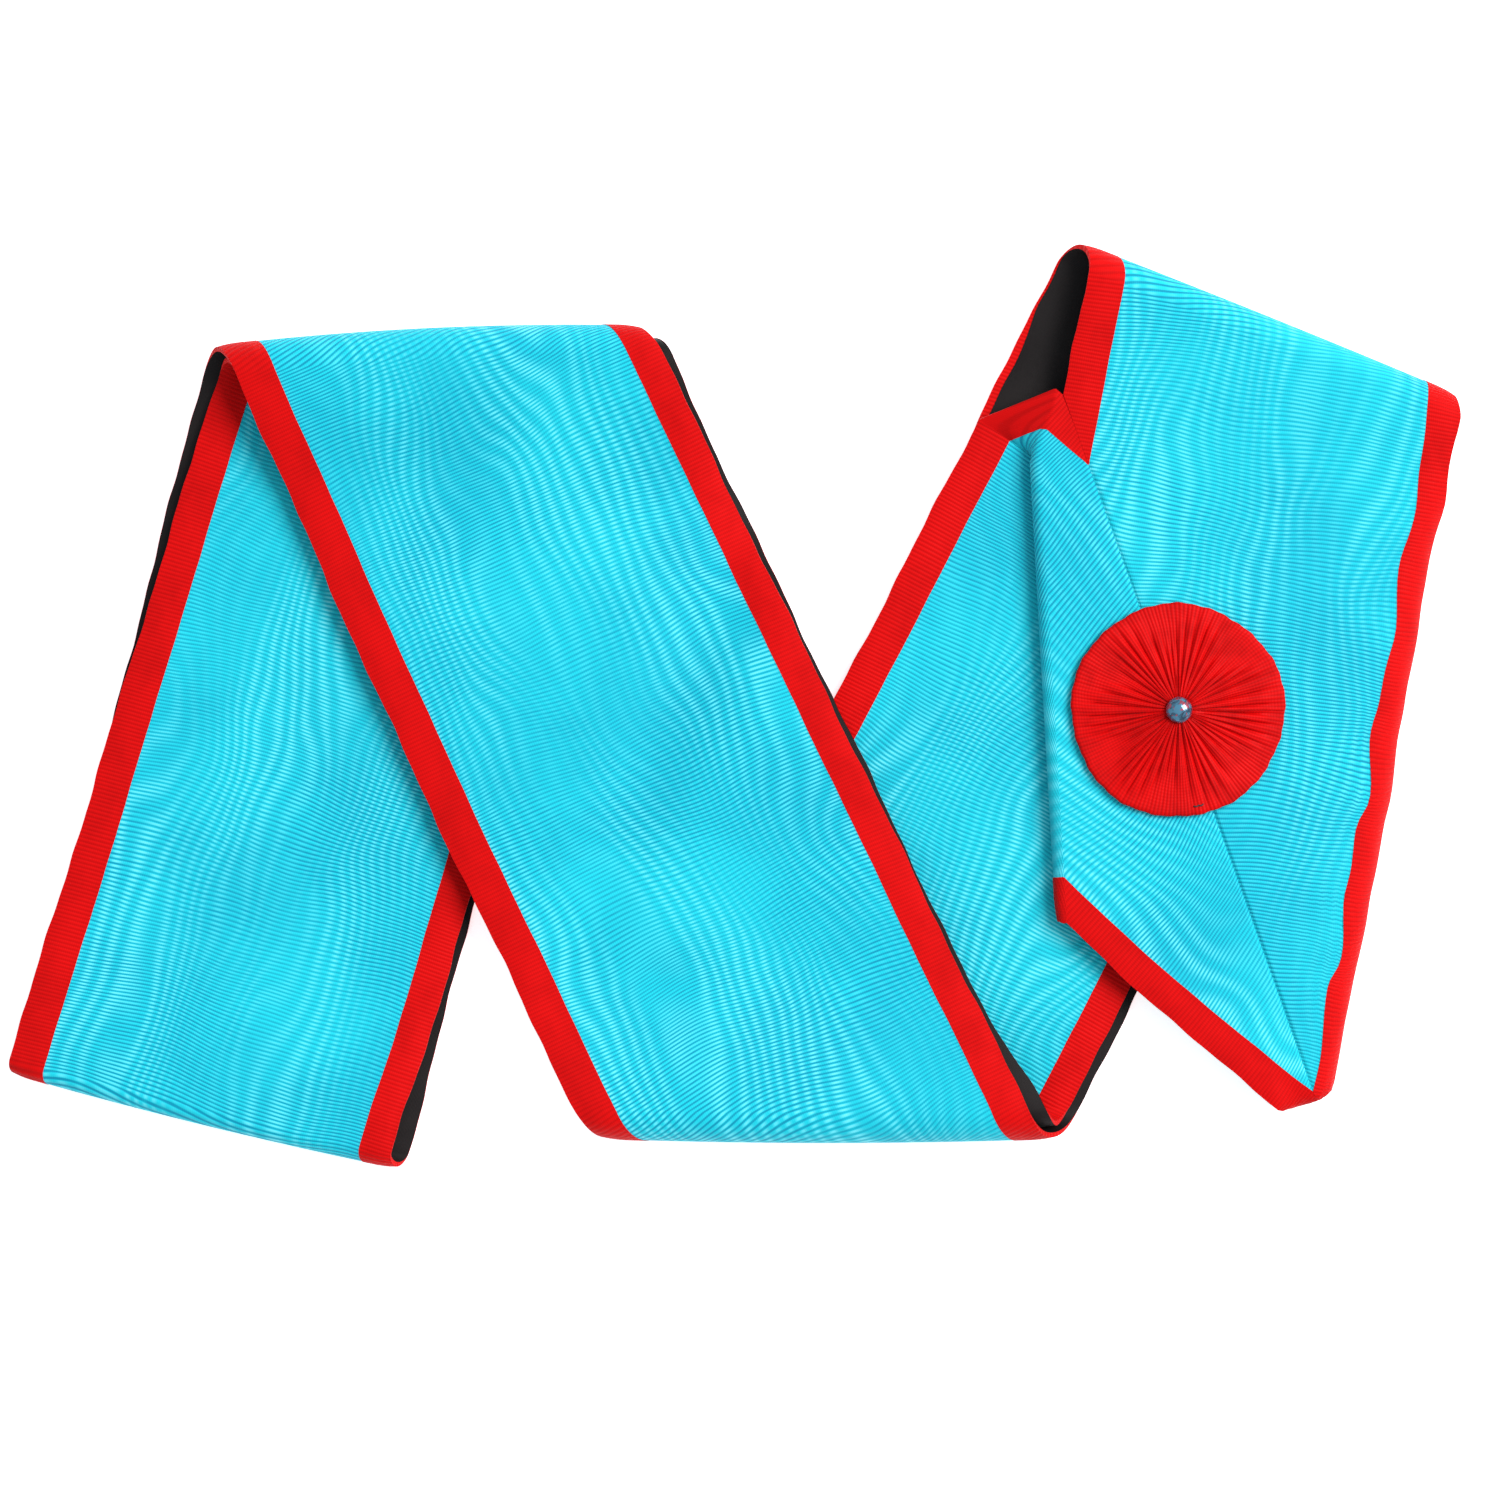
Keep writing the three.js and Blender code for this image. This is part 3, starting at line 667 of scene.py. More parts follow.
    def settle(self):
        """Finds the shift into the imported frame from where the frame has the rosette's button."""
        centre = self.seam_centre + self.seam_way * ROSETTE_OFFSET
        seat = self.front + HALF_WALL + PIECE_GAP
        self.offset = button_place()[0] - np.array([*centre, seat])


def leg_drift(name, share, length):
    """How far a leg's inner and outer edges stand out past their straight lines."""
    drift = np.zeros((2, len(share)))
    if name in DRIFTS:
        row = DRIFTS[name]
        start = 1 - ease(share * length / DRIFT_REACH)
        end = 1 - ease((1 - share) * length / DRIFT_REACH)
        out = row["start"] * start + row["bow"] * 4 * share * (1 - share) + row["end"] * end
        drift[(row["side"] + 1) // 2] = out
    return drift


def waver(waves, travel):
    """A sum of sines along the band. waves: rows of size, length and phase."""
    return sum(size * np.sin(2 * np.pi * travel / length + phase) for size, length, phase in waves)


def wobble(path, travel, place):
    """Sideways shift of places near the band's edges: its slow drifts and its small waver."""
    share = place / path.width
    inner, outer = path.edge_drifts()[:, :, None]
    drift = outer * np.clip(0.5 + share, 0, 1) ** 1.5 - inner * np.clip(0.5 - share, 0, 1) ** 1.5
    side_phase = np.where(place > 0, 0.27, 0.0) * WOBBLES[0][1]
    small = waver(WOBBLES, travel + side_phase) * np.clip(np.abs(2 * share), 0, 1) ** 6
    free = 1 - ease((travel - SHOULDER_LEG) / SEAM_CALM)
    small = small + free * waver(FREE_WOBBLES, travel) * np.clip(2 * share, 0, 1) ** 2.5
    near_hem = np.exp(-((place - path.width / 2 + OUTER_EDGE_WIDTH) / HEM_WOBBLE_REACH) ** 2)
    small = small + free * near_hem * waver(HEM_WOBBLES, travel)
    return drift + small * calm(travel)


def calm(travel):
    """Falls to nothing at the loop's first and last row, so that they meet in the seam."""
    return ease((travel - travel[0]) / SEAM_CALM) * ease((travel[-1] - travel) / SEAM_CALM)


def lip_shift(path, travel, place):
    """How far the inner binding's lip reaches further over the lining, past the shoulder fold."""
    run = travel - path.right_leg_start
    rise = WIDE_LIP_FIRST * ease(run / WIDE_LIP_FIRST_RISE)
    rise = rise + (1 - WIDE_LIP_FIRST) * ease((run - WIDE_LIP_START) / WIDE_LIP_RISE)
    size = WIDE_LIP * rise * (1 - ease((run - WIDE_LIP_END) / WIDE_LIP_RISE))
    return size * np.clip(-2 * place / path.width, 0, 1) ** 8


def relief(travel, place, width):
    """Height of the laid cloth's unevenness: slow ripples, and puckers along the two hems."""
    height = np.zeros_like(travel)
    for size, along, sideways, phase in RIPPLES:
        wave = np.sin(2 * np.pi * (travel / along + place / sideways) + phase)
        height = height + size * (0.5 + 0.5 * wave)
    inner_hem = -width / 2 + INNER_EDGE_WIDTH
    outer_hem = width / 2 - OUTER_EDGE_WIDTH
    for hem, phase in ((inner_hem, 0.0), (outer_hem, 2.4)):
        near = np.exp(-((place - hem) / PUCKER_REACH) ** 2)
        patch = ease(np.sin(2 * np.pi * travel / PUCKER_PATCH + phase) + 0.35)
        drift = 2.2 * np.sin(2 * np.pi * travel / (7 * PUCKER_SPACING) + phase)
        slant = 0.5 * (place - hem) / PUCKER_REACH
        pucker = 0.5 + 0.5 * np.sin(2 * np.pi * travel / PUCKER_SPACING + drift + slant)
        height = height + PUCKER_HEIGHT * near * patch * pucker
    return height


def half_wall_at(place, width):
    """Half the lined band's thickness: full in the middle, thin at the edges."""
    from_edge = width / 2 - np.abs(place)
    return lerp(EDGE_HALF_WALL, HALF_WALL, ease(from_edge / EDGE_ROUNDING) ** 0.5)


def mitre_normals(path, middle, normal):
    """Beside the seam, turns both legs' normals into the seam's own plane, so that they meet."""
    across = np.array([-path.seam_way[1], path.seam_way[0]])
    distance = np.abs((middle[..., :2] - path.seam_centre) @ across)
    near = 1 - ease(distance / SEAM_MITRE)
    first = len(path.stretches[0].shares)
    last = len(path.stretches[-1].shares)
    near[first:-last] = 0
    normal[..., :2] -= (near * (normal[..., :2] @ across))[..., None] * across
    return normal / np.linalg.norm(normal, axis=-1, keepdims=True)


def sweep(path, outline):
    """Sweeps an outline of (place, height, lip) corners along the loop. lip: 1 at corners that move
    with the inner binding's lip. Returns points and travel."""
    outline = np.array(outline)
    places = outline[:, 0]
    travel = path.rows(places, of_travel=True)
    spread = np.broadcast_to(places, travel.shape)
    placed = places + wobble(path, travel, spread) + outline[:, 2] * lip_shift(path, travel, spread)
    middle = path.rows(placed)
    outer = path.rows(placed + NORMAL_STEP)
    inner = path.rows(placed - NORMAL_STEP)
    normal = np.cross(outer - inner, np.gradient(middle, axis=0))
    normal /= np.linalg.norm(normal, axis=-1, keepdims=True)
    normal = mitre_normals(path, middle, normal)
    points = middle + normal * outline[:, 1][None, :, None]
    lift = relief(travel, spread, path.width) * calm(travel)
    points[..., 2] += lift * normal[..., 2] ** 2
    return points + path.offset, travel


def mesh_object(name, points, faces, uvs, sharp_angle):
    """A smooth mesh object with one UV layer, from points, faces and a UV pair for each point."""
    mesh = bpy.data.meshes.new(name)
    mesh.from_pydata(points.tolist(), [], faces)
    layer = mesh.uv_layers.new(name="cloth")
    corner_points = np.empty(len(mesh.loops), dtype=np.int32)
    mesh.loops.foreach_get("vertex_index", corner_points)
    layer.data.foreach_set("uv", uvs[corner_points].astype(np.float32).ravel())
    mesh.shade_smooth()
    mesh.set_sharp_from_angle(angle=sharp_angle)
    piece = bpy.data.objects.new(name, mesh)
    bpy.context.scene.collection.objects.link(piece)
    return piece


def ring_faces(rows, size):
    """The faces that join rings of points in a row, with a cap on each end."""
    faces = []
    for start in range(0, (rows - 1) * size, size):
        for i in range(size):
            j = (i + 1) % size
            faces.append((start + i, start + i + size, start + j + size, start + j))
    faces.append(tuple(range(size)))
    faces.append(tuple(range(rows * size - 1, (rows - 1) * size - 1, -1)))
    return faces


def strip(name, path, outline):
    """A closed strip of cloth with the outline as its cross section, anticlockwise."""
    points, travel = sweep(path, outline)
    faces = ring_faces(*travel.shape)
    places = np.broadcast_to(np.array(outline)[:, 0], travel.shape)
    uvs = np.stack([places, travel], axis=-1).reshape(-1, 2)
    return mesh_object(name, points.reshape(-1, 3), faces, uvs, math.radians(55))


def sheet_outline(places, under, thickness, moves):
    """A thin sheet across the band, from the heights of its underside."""
    lower = [(place, level, moves) for place, level in zip(places, under)]
    upper = [(place, level + thickness, moves) for place, level in zip(places, under)]
    return lower + upper[::-1]


def ribbon_outline(width, columns=33):
    """The blue ribbon: a thin sheet whose two sides reach under the red hems."""
    low = -width / 2 + INNER_EDGE_WIDTH - HEM_OVERLAP
    high = width / 2 - OUTER_EDGE_WIDTH + HEM_OVERLAP
    places = np.linspace(low, high, columns)
    return sheet_outline(places, half_wall_at(places, width) - HEM_STEP - CLOTH, CLOTH, 0)


def lining_outline(width, columns=29):
    """The lining: a thin sheet that reaches to the red bindings."""
    edge = width / 2 - BINDING_LIP - LINING_INSET
    places = np.linspace(-edge, edge, columns)
    return sheet_outline(places, HEM_STEP - half_wall_at(places, width), LINING_CLOTH, 1)


def edge_outline(width, edge_width, side):
    """A red edge ribbon: flat beside the blue, rounded at the band's edge, and turned under."""
    half = width / 2
    places = half - edge_width * np.array([1.0, 0.9, 0.75, 0.55, 0.36, 0.2])
    heights = half_wall_at(places, width)
    top = [(place, height, 0) for place, height in zip(places, heights)]
    nose = []
    for turn in range(75, -76, -25):
        angle = math.radians(turn)
        back = NOSE_LENGTH * (1 - math.cos(angle))
        nose.append((half - back, EDGE_HALF_WALL * math.sin(angle), 0))
    lip = half - BINDING_LIP
    under = -float(half_wall_at(lip, width))
    turned = [(lip, under, 1), (lip, under + LIP_CLOTH, 1), (lip - LIP_BACK, -LIP_BACK, 0)]
    turned.append((half - INSIDE_BEND, INSIDE_BEND_HEIGHT, 0))
    inside = [(place, height - EDGE_CLOTH, 0) for place, height, moves in top[-2:0:-1]]
    tuck = (places[0], heights[0] - HEM_STEP + EDGE_TUCK, 0)
    outline = top + nose + turned + inside + [tuck]
    if side > 0:
        return outline[::-1]
    return [(-place, level, moves) for place, level, moves in outline]


class Recipe:
    """A material's node tree, built one node at a time."""

    def __init__(self, name):
        self.material = bpy.data.materials.new(name)
        self.material.use_nodes = True
        self.tree = self.material.node_tree
        self.tree.nodes.clear()

    def node(self, kind, inputs=None, **settings):
        made = self.tree.nodes.new(kind)
        for key, value in settings.items():
            setattr(made, key, value)
        for key, value in (inputs or {}).items():
            self.feed(made.inputs[key], value)
        return made

    def feed(self, socket, value):
        if isinstance(value, bpy.types.NodeSocket):
            self.tree.links.new(value, socket)
        else:
            socket.default_value = value

    def times(self, first, second):
        return self.math("MULTIPLY", first, second)

    def plus(self, first, second):
        return self.math("ADD", first, second)

    def scaled(self, value, factor, added):
        return self.math("MULTIPLY_ADD", value, factor, added)

    def math(self, operation, first, second=0.0, third=0.0):
        inputs = {0: first, 1: second, 2: third}
        return self.node("ShaderNodeMath", inputs, operation=operation).outputs[0]

    def spread(self, value, low, high, to_low=0.0, to_high=1.0):
        """Maps a range smoothly onto another, held at its ends."""
        inputs = {"Value": value, "From Min": low, "From Max": high}
        inputs.update({"To Min": to_low, "To Max": to_high})
        made = self.node("ShaderNodeMapRange", inputs, interpolation_type="SMOOTHSTEP")
        return made.outputs["Result"]

    def shaded(self, shade, light, deep):
        """Goes from a light to a deep colour as the shade rises from 0 to 1."""
        shade = self.node("ShaderNodeClamp", {0: shade}).outputs[0]
        return self.mix(shade, rgba(light), rgba(deep))

    def mix(self, share, first, second):
        made = self.node("ShaderNodeMix", data_type="RGBA")
        self.feed(made.inputs[0], share)
        self.feed(made.inputs[6], first)
        self.feed(made.inputs[7], second)
        return made.outputs[2]

    def noise(self, vector, scale, detail=2.0, roughness=0.5, distortion=0.0):
        inputs = {"Vector": vector, "Scale": scale, "Detail": detail, "Roughness": roughness}
        inputs["Distortion"] = distortion
        return self.node("ShaderNodeTexNoise", inputs, noise_dimensions="3D").outputs["Fac"]

    def combine(self, x=0.0, y=0.0, z=0.0):
        return self.node("ShaderNodeCombineXYZ", {0: x, 1: y, 2: z}).outputs[0]

    def cloth_places(self):
        """Places across and travel along the cloth, in metres, from its UV layer."""
        uv = self.node("ShaderNodeUVMap", uv_map="cloth").outputs["UV"]
        parts = self.node("ShaderNodeSeparateXYZ", {0: uv})
        return parts.outputs["X"], parts.outputs["Y"]

    def bump(self, height, distance, strength=1.0):
        inputs = {"Height": height, "Distance": distance, "Strength": strength}
        return self.node("ShaderNodeBump", inputs).outputs["Normal"]

    def finish(self, linked, constants):
        """Closes the tree with a Principled shader and returns the material."""
        shader = self.node("ShaderNodeBsdfPrincipled", linked)
        for key, value in constants.items():
            shader.inputs[key].default_value = value
        self.node("ShaderNodeOutputMaterial", {"Surface": shader.outputs[0]})
        return self.material


def rgba(colour):
    return (*colour[:3], 1.0)


def wave(recipe, value, pitch, phase=0.0):
    """A sine of a length in metres, from 0 to 1, one cycle for each pitch."""
    turn = recipe.scaled(value, 2 * math.pi / pitch, phase)
    return recipe.scaled(recipe.math("SINE", turn), 0.5, 0.5)


def ribbed(recipe, across, along, pitch, waver):
    """Cross ribs that waver a little along the cloth. Returns the rib's height and the waver."""
    place = recipe.combine(across, along)
    drift = recipe.noise(place, 22.0, 1.0)
    pushed = recipe.scaled(drift, waver, along)
    return wave(recipe, pushed, pitch), pushed


def moire_material(cloth):
    """Watered ribbon: fine cross ribs, pressed lines that run along the band in close waves, and slow
    patches of painted shade.
    """
    recipe = Recipe("moire_cloth")
    across, along = recipe.cloth_places()
    rib, pushed = ribbed(recipe, across, along, cloth.rib_pitch, 0.012)
    warp = wave(recipe, across, cloth.warp_pitch)

    slow = recipe.combine(recipe.times(across, 26.0), recipe.times(pushed, 13.0))
    bend = recipe.noise(slow, 1.0, 1.6, 0.42, 0.25)
    lines = recipe.times(across, 2 * math.pi / cloth.moire_pitch)
    lines = recipe.scaled(bend, 2 * math.pi * cloth.moire_bends, lines)
    streak = recipe.scaled(recipe.math("SINE", lines), 0.5, 0.5)
    streak = recipe.math("POWER", streak, 1.4)
    where = recipe.combine(recipe.times(across, 30.0), recipe.times(along, 9.0), 7.0)
    patch = recipe.spread(recipe.noise(where, 1.0, 1.5), 0.38, 0.64, 0.12, 1.0)
    streak = recipe.times(streak, patch)
    # cloud: slow patches of painted shade, placed by noise, that deepen the blue.
    cloud = recipe.noise(recipe.combine(across, along, 3.0), 20.0, 3.0, 0.55)
    fleck = recipe.noise(recipe.combine(recipe.times(across, 0.25), pushed, 5.0), 900.0, 2.0, 0.6)

    crest = recipe.spread(rib, 0.3, 0.95)
    dash = recipe.times(crest, streak)
    valley = recipe.spread(rib, 0.0, 0.55, 1.0, 0.0)
    depth = recipe.spread(fleck, 0.3, 0.7, 0.7, 1.0)
    # Painted shade: noise patches where the lines between the ribs run darker, standing in for the shade
    # in the cloth's soft dips.
    dip_shade = recipe.noise(recipe.combine(across, along, 9.0), 17.0, 1.5)
    contrast = recipe.times(recipe.spread(dip_shade, 0.4, 0.66, 0.8, 1.5), cloth.rib_contrast)
    shade = recipe.times(valley, recipe.times(depth, contrast))
    thread = recipe.times(recipe.spread(warp, 0.0, 1.0, 1.0, 0.0), 0.1)
    shade = recipe.plus(shade, thread)
    # Painted shade: the slow cloud patches turn the blue deeper.
    shade = recipe.plus(shade, recipe.spread(cloud, 0.35, 0.7, 0.0, 0.25))
    shade = recipe.math("SUBTRACT", shade, recipe.times(streak, 0.15))
    colour = recipe.shaded(shade, cloth.blue, cloth.blue_deep)
    colour = recipe.mix(recipe.times(dash, cloth.moire_strength), colour, rgba(cloth.blue_light))

    roughness = recipe.spread(streak, 0.0, 1.0, 0.62, 0.48)
    height = recipe.scaled(warp, 0.15, rib)
    height = recipe.times(height, recipe.spread(streak, 0.0, 1.0, 1.0, 0.6))
    normal = recipe.bump(height, 0.14 * MM, 0.9)
    return recipe.finish(
        {"Base Color": colour, "Roughness": roughness, "Normal": normal},
        {"Specular IOR Level": 0.12, "Sheen Weight": 0.05, "Sheen Roughness": 0.4},
    )


def red_material(name, cloth, colour, colour_deep):
    """Red ribbed ribbon with a faint watering."""
    recipe = Recipe(name)
    across, along = recipe.cloth_places()
    rib, pushed = ribbed(recipe, across, along, cloth.rib_pitch, 0.004)
    warp = wave(recipe, across, cloth.warp_pitch)
    place = recipe.combine(recipe.times(across, 1.6), pushed)
    cloud = recipe.noise(place, 60.0, 3.0, 0.6)
    shade = recipe.times(recipe.spread(rib, 0.0, 0.6, 1.0, 0.0), 0.4)
    shade = recipe.scaled(recipe.spread(warp, 0.0, 1.0, 1.0, 0.0), 0.12, shade)
    shade = recipe.plus(shade, recipe.spread(cloud, 0.35, 0.75, 0.0, 0.35))
    tone = recipe.shaded(shade, colour, colour_deep)
    height = recipe.scaled(warp, 0.2, rib)
    normal = recipe.bump(height, 0.12 * MM, 0.8)
    roughness = recipe.spread(cloud, 0.2, 0.8, 0.55, 0.7)
    return recipe.finish(
        {"Base Color": tone, "Roughness": roughness, "Normal": normal},
        {"Specular IOR Level": 0.06, "Sheen Weight": 0.02, "Sheen Roughness": 0.5},
    )


def lining_material(cloth):
    """Black satin with a fine weave and slow creases."""
    recipe = Recipe("lining_satin")
    across, along = recipe.cloth_places()
    place = recipe.combine(across, along, 1.0)
    crease = recipe.noise(place, 45.0, 4.0, 0.55, 0.4)
    weave = recipe.times(wave(recipe, across, 0.34 * MM), wave(recipe, along, 0.3 * MM))
    tone = recipe.spread(crease, 0.3, 0.75)
    colour = recipe.mix(tone, rgba(cloth.lining), rgba(cloth.lining_light))
    height = recipe.scaled(crease, 6.0, weave)
    normal = recipe.bump(height, 0.06 * MM, 0.6)
    roughness = recipe.spread(crease, 0.3, 0.7, 0.42, 0.58)
    return recipe.finish(
        {"Base Color": colour, "Roughness": roughness, "Normal": normal},
        {"Specular IOR Level": 0.12, "Sheen Weight": 0.02, "Sheen Roughness": 0.35},
    )


def rosette_material(cloth, rosette):
    """The rosette's red ribbon: ribs that run from the middle to the rim."""
    recipe = Recipe("rosette_cloth")
    around, out = recipe.cloth_places()
    place = recipe.combine(around, out, 2.0)
    cloud = recipe.noise(place, 130.0, 3.0, 0.6)
    drift = recipe.noise(recipe.combine(around, out), 60.0, 1.0)
    pushed = recipe.scaled(drift, 1.6 * MM, around)
    rib = wave(recipe, pushed, cloth.rib_pitch)
    cross_rib = wave(recipe, recipe.scaled(drift, 3 * MM, out), 0.8 * MM)
    shade = recipe.times(recipe.spread(rib, 0.0, 0.6, 1.0, 0.0), 0.35)
    shade = recipe.scaled(cross_rib, 0.1, shade)
    shade = recipe.plus(shade, recipe.spread(cloud, 0.35, 0.75, 0.0, 0.4))
    tone = recipe.shaded(shade, rosette.red, rosette.red_deep)
    height = recipe.scaled(cross_rib, 0.3, rib)
    normal = recipe.bump(height, 0.12 * MM, 0.7)
    roughness = recipe.spread(cloud, 0.2, 0.8, 0.5, 0.66)
    return recipe.finish(
        {"Base Color": tone, "Roughness": roughness, "Normal": normal},
        {"Specular IOR Level": 0.08, "Sheen Weight": 0.02, "Sheen Roughness": 0.4},
    )


def button_material(rosette):
    """Shiny blue-grey shell with darker and reddish clouds under a clear coat."""
    recipe = Recipe("button_shell")
    place = recipe.node("ShaderNodeTexCoord").outputs["Object"]
    cloud = recipe.noise(place, 420.0, 3.0, 0.6, 1.2)
    fleck = recipe.noise(place, 700.0, 2.0, 0.5, 0.6)
    tone = recipe.mix(recipe.spread(cloud, 0.42, 0.6), rgba(rosette.button), rgba(rosette.button_deep))
    tone = recipe.mix(
        recipe.spread(fleck, 0.56, 0.66, 0.0, 0.75), tone, rgba(rosette.button_fleck)
    )
    roughness = recipe.spread(cloud, 0.3, 0.7, 0.12, 0.28)
    normal = recipe.bump(cloud, 0.15 * MM, 0.5)
    return recipe.finish(
        {"Base Color": tone, "Roughness": roughness, "Normal": normal},
        {"Metallic": 0.35, "Coat Weight": 0.6, "Coat Roughness": 0.06},
    )


def thread_material():
    """Dark twisted sewing thread."""
    recipe = Recipe("tack_thread")
    place = recipe.node("ShaderNodeTexCoord").outputs["Object"]
    fibre = recipe.noise(place, 2600.0, 3.0, 0.7)
    tone = recipe.mix(fibre, (0.006, 0.005, 0.006, 1.0), (0.05, 0.035, 0.035, 1.0))
    normal = recipe.bump(fibre, 0.05 * MM, 0.6)
    return recipe.finish({"Base Color": tone, "Normal": normal}, {"Roughness": 0.7})


def dress(piece, material, slot, *nodes):
    """Gives a piece its material, lets it ride on the part and stand for its CAD nodes."""
    piece.data.materials.append(material)
    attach(piece, "root")
    if nodes:
        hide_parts(*nodes)


def lay_strip(cloth, node, outline, material, slot):
    """Makes one of the band's four cloth strips. Returns it and the path it follows."""
    path = BandPath(cloth.band_width)
    path.settle()
    piece = strip(node + "_cloth", path, outline)
    dress(piece, material, slot, node)
    return piece, path


def rosette_rings(rosette):
    """Way out, share of pleating and height of each ring, from the hole over the rim and under."""
    radius = rosette.diameter / 2
    roll = ROSETTE_ROLL
    under = ROSETTE_UNDER
    top_at_rim = under + 2 * roll
    rings = []
    for i in range(ROSETTE_RINGS):
        share = (i / (ROSETTE_RINGS - 1)) ** 1.25
        out = lerp(ROSETTE_HOLE, radius - roll, share)
        dome = (1 - share) ** 1.6
        neck = ease((0.12 - share) / 0.12)
        height = lerp(top_at_rim, rosette.centre_height, dome) - ROSETTE_NECK_DEPTH * neck
        rings.append((out, share, height))
    for turn in (0.2, 0.4, 0.6, 0.8, 1.0):
        angle = turn * math.pi
        out = radius - roll + roll * math.sin(angle)
        rings.append((out, 1.0, under + roll + roll * math.cos(angle)))
    for step in (0.35, 0.7, 1.0):
        rings.append((radius - roll - ROSETTE_HEM * step, 1.0, under))
    return rings


def round_waves(waves, angle):
    """A sum of sines round the rosette. waves: rows of size, number of waves and phase."""
    return sum(size * np.sin(count * angle + phase) for size, count, phase in waves)


def pleated_ring(rosette, out, share, height, angle):
    """Points of one ring: pleats with sharp valleys, deep at the middle, each fading at its own
    distance from it."""
    swing = round_waves(PLEAT_SWING, angle) * (1 - 0.35 * share)
    pleat = angle / (2 * np.pi) * rosette.pleats + swing
    number = np.floor(pleat) % rosette.pleats
    chance = np.abs(np.sin(number * 12.9898 + 4.1)) % 1.0
    fade = 1 - 0.85 * ease((share - lerp(0.3, 0.8, chance)) / 0.3)
    depth = lerp(2.3 * MM, 0.5 * MM, share ** 0.55) * lerp(0.75, 1.1, chance) * fade
    lift = depth * (np.abs(np.sin(np.pi * pleat)) ** 0.75)
    far = out * (1 + share ** 3 * round_waves(RIM_WAVES, angle))
    turned = angle + 0.05 * np.sin(2 * angle + 0.6) * share * (1 - share)
    return np.stack([far * np.cos(turned), far * np.sin(turned), height + lift], axis=-1)


def rosette_mesh(rosette, place):
    """The pleated rosette as a thin closed sheet."""
    around = rosette.pleats * PLEAT_POINTS
    angle = np.arange(around) / around * 2 * np.pi
    rings = rosette_rings(rosette)
    grid = np.stack([pleated_ring(rosette, *ring, angle) for ring in rings])
    side = np.roll(grid, -1, axis=1) - np.roll(grid, 1, axis=1)
    outward = np.gradient(grid, axis=0)
    normal = np.cross(outward, side)
    normal /= np.linalg.norm(normal, axis=-1, keepdims=True)
    faces = []
    count = len(rings)
    total = count * around

    def at(layer, ring, i):
        return layer * total + ring * around + i % around

    for i in range(around):
        for ring in range(count - 1):
            top = (at(0, ring, i), at(0, ring + 1, i), at(0, ring + 1, i + 1), at(0, ring, i + 1))
            faces.append(top)
            faces.append(tuple(number + total for number in reversed(top)))
        faces.append((at(0, 0, i + 1), at(1, 0, i + 1), at(1, 0, i), at(0, 0, i)))
        last = count - 1
        faces.append((at(0, last, i), at(1, last, i), at(1, last, i + 1), at(0, last, i + 1)))
    lift = normal * ROSETTE_HALF_CLOTH
    points = np.concatenate([grid + lift, grid - lift]).reshape(-1, 3) + place
    profile = np.array([(out, height) for out, share, height in rings])
    steps = np.concatenate([[0.0], np.cumsum(np.hypot(*np.diff(profile, axis=0).T))])
    rim_arc = angle * rosette.diameter / 2
    side_uvs = np.stack(np.broadcast_arrays(rim_arc[None, :], steps[:, None]), axis=-1)
    uvs = np.tile(side_uvs.reshape(-1, 2), (2, 1))
    return mesh_object("rosette_pleats", points, faces, uvs, math.radians(60))


def lathe(name, profile, segments, place):
    """A turned solid from (out, height) corners that begin and end on the axis."""
    points = [(0.0, 0.0, profile[0][1])]
    for out, height in profile[1:-1]:
        for i in range(segments):
            angle = 2 * math.pi * i / segments
            points.append((out * math.cos(angle), out * math.sin(angle), height))
    points.append((0.0, 0.0, profile[-1][1]))
    rings = len(profile) - 2
    faces = []
    for i in range(segments):
        j = (i + 1) % segments
        faces.append((0, 1 + j, 1 + i))
        for ring in range(rings - 1):
            a = 1 + ring * segments
            b = a + segments
            faces.append((a + i, a + j, b + j, b + i))
        top = 1 + (rings - 1) * segments
        faces.append((top + i, top + j, len(points) - 1))
    points = np.array(points) + place
    return mesh_object(name, points, faces, points[:, :2].copy(), math.radians(50))


def button_profile(rosette, seat_height):
    """A shank, a flat underside with a rounded rim, and a low dome."""
    radius = rosette.button_diameter / 2
    shank = 0.9 * MM
    rim = 0.35 * MM
    profile = [(0.0, 0.0), (shank, 0.0), (shank, seat_height - 0.05 * MM), (shank + 0.3 * MM, seat_height)]
    profile.append((radius - rim, seat_height))
    for turn in (-60, -30, 0, 30):
        angle = math.radians(turn)
        profile.append((radius - rim + rim * math.cos(angle), seat_height + rim + rim * math.sin(angle)))
    top = rosette.button_height
    base = seat_height + 1.6 * rim
    for step in range(1, 11):
        angle = math.radians(90 * step / 11)
        profile.append((
            (radius - 0.35 * rim) * math.cos(angle),
            base + (top + seat_height - base) * math.sin(angle),
        ))
    profile.append((0.0, seat_height + top))
    return profile


def tube(name, line, radius, sides=8):
    """A closed thread along a line of points."""
    line = np.array(line)
    ahead = np.gradient(line, axis=0)
    ahead /= np.linalg.norm(ahead, axis=1, keepdims=True)
    side = np.cross(ahead, [0.0, 0.0, 1.0])
    side /= np.linalg.norm(side, axis=1, keepdims=True)
    up = np.cross(side, ahead)
    angle = -np.arange(sides) / sides * 2 * np.pi
    ring = np.cos(angle)[None, :, None] * side[:, None] + np.sin(angle)[None, :, None] * up[:, None]
    points = (line[:, None] + ring * radius).reshape(-1, 3)
    faces = ring_faces(len(line), sides)
    return mesh_object(name, points, faces, points[:, :2].copy(), math.radians(70))


def length_setting(name, description, default, **limits):
    """A setting in metres."""
    return FloatProperty(
        name=name, description=description, default=default, unit="LENGTH", **limits,
    )


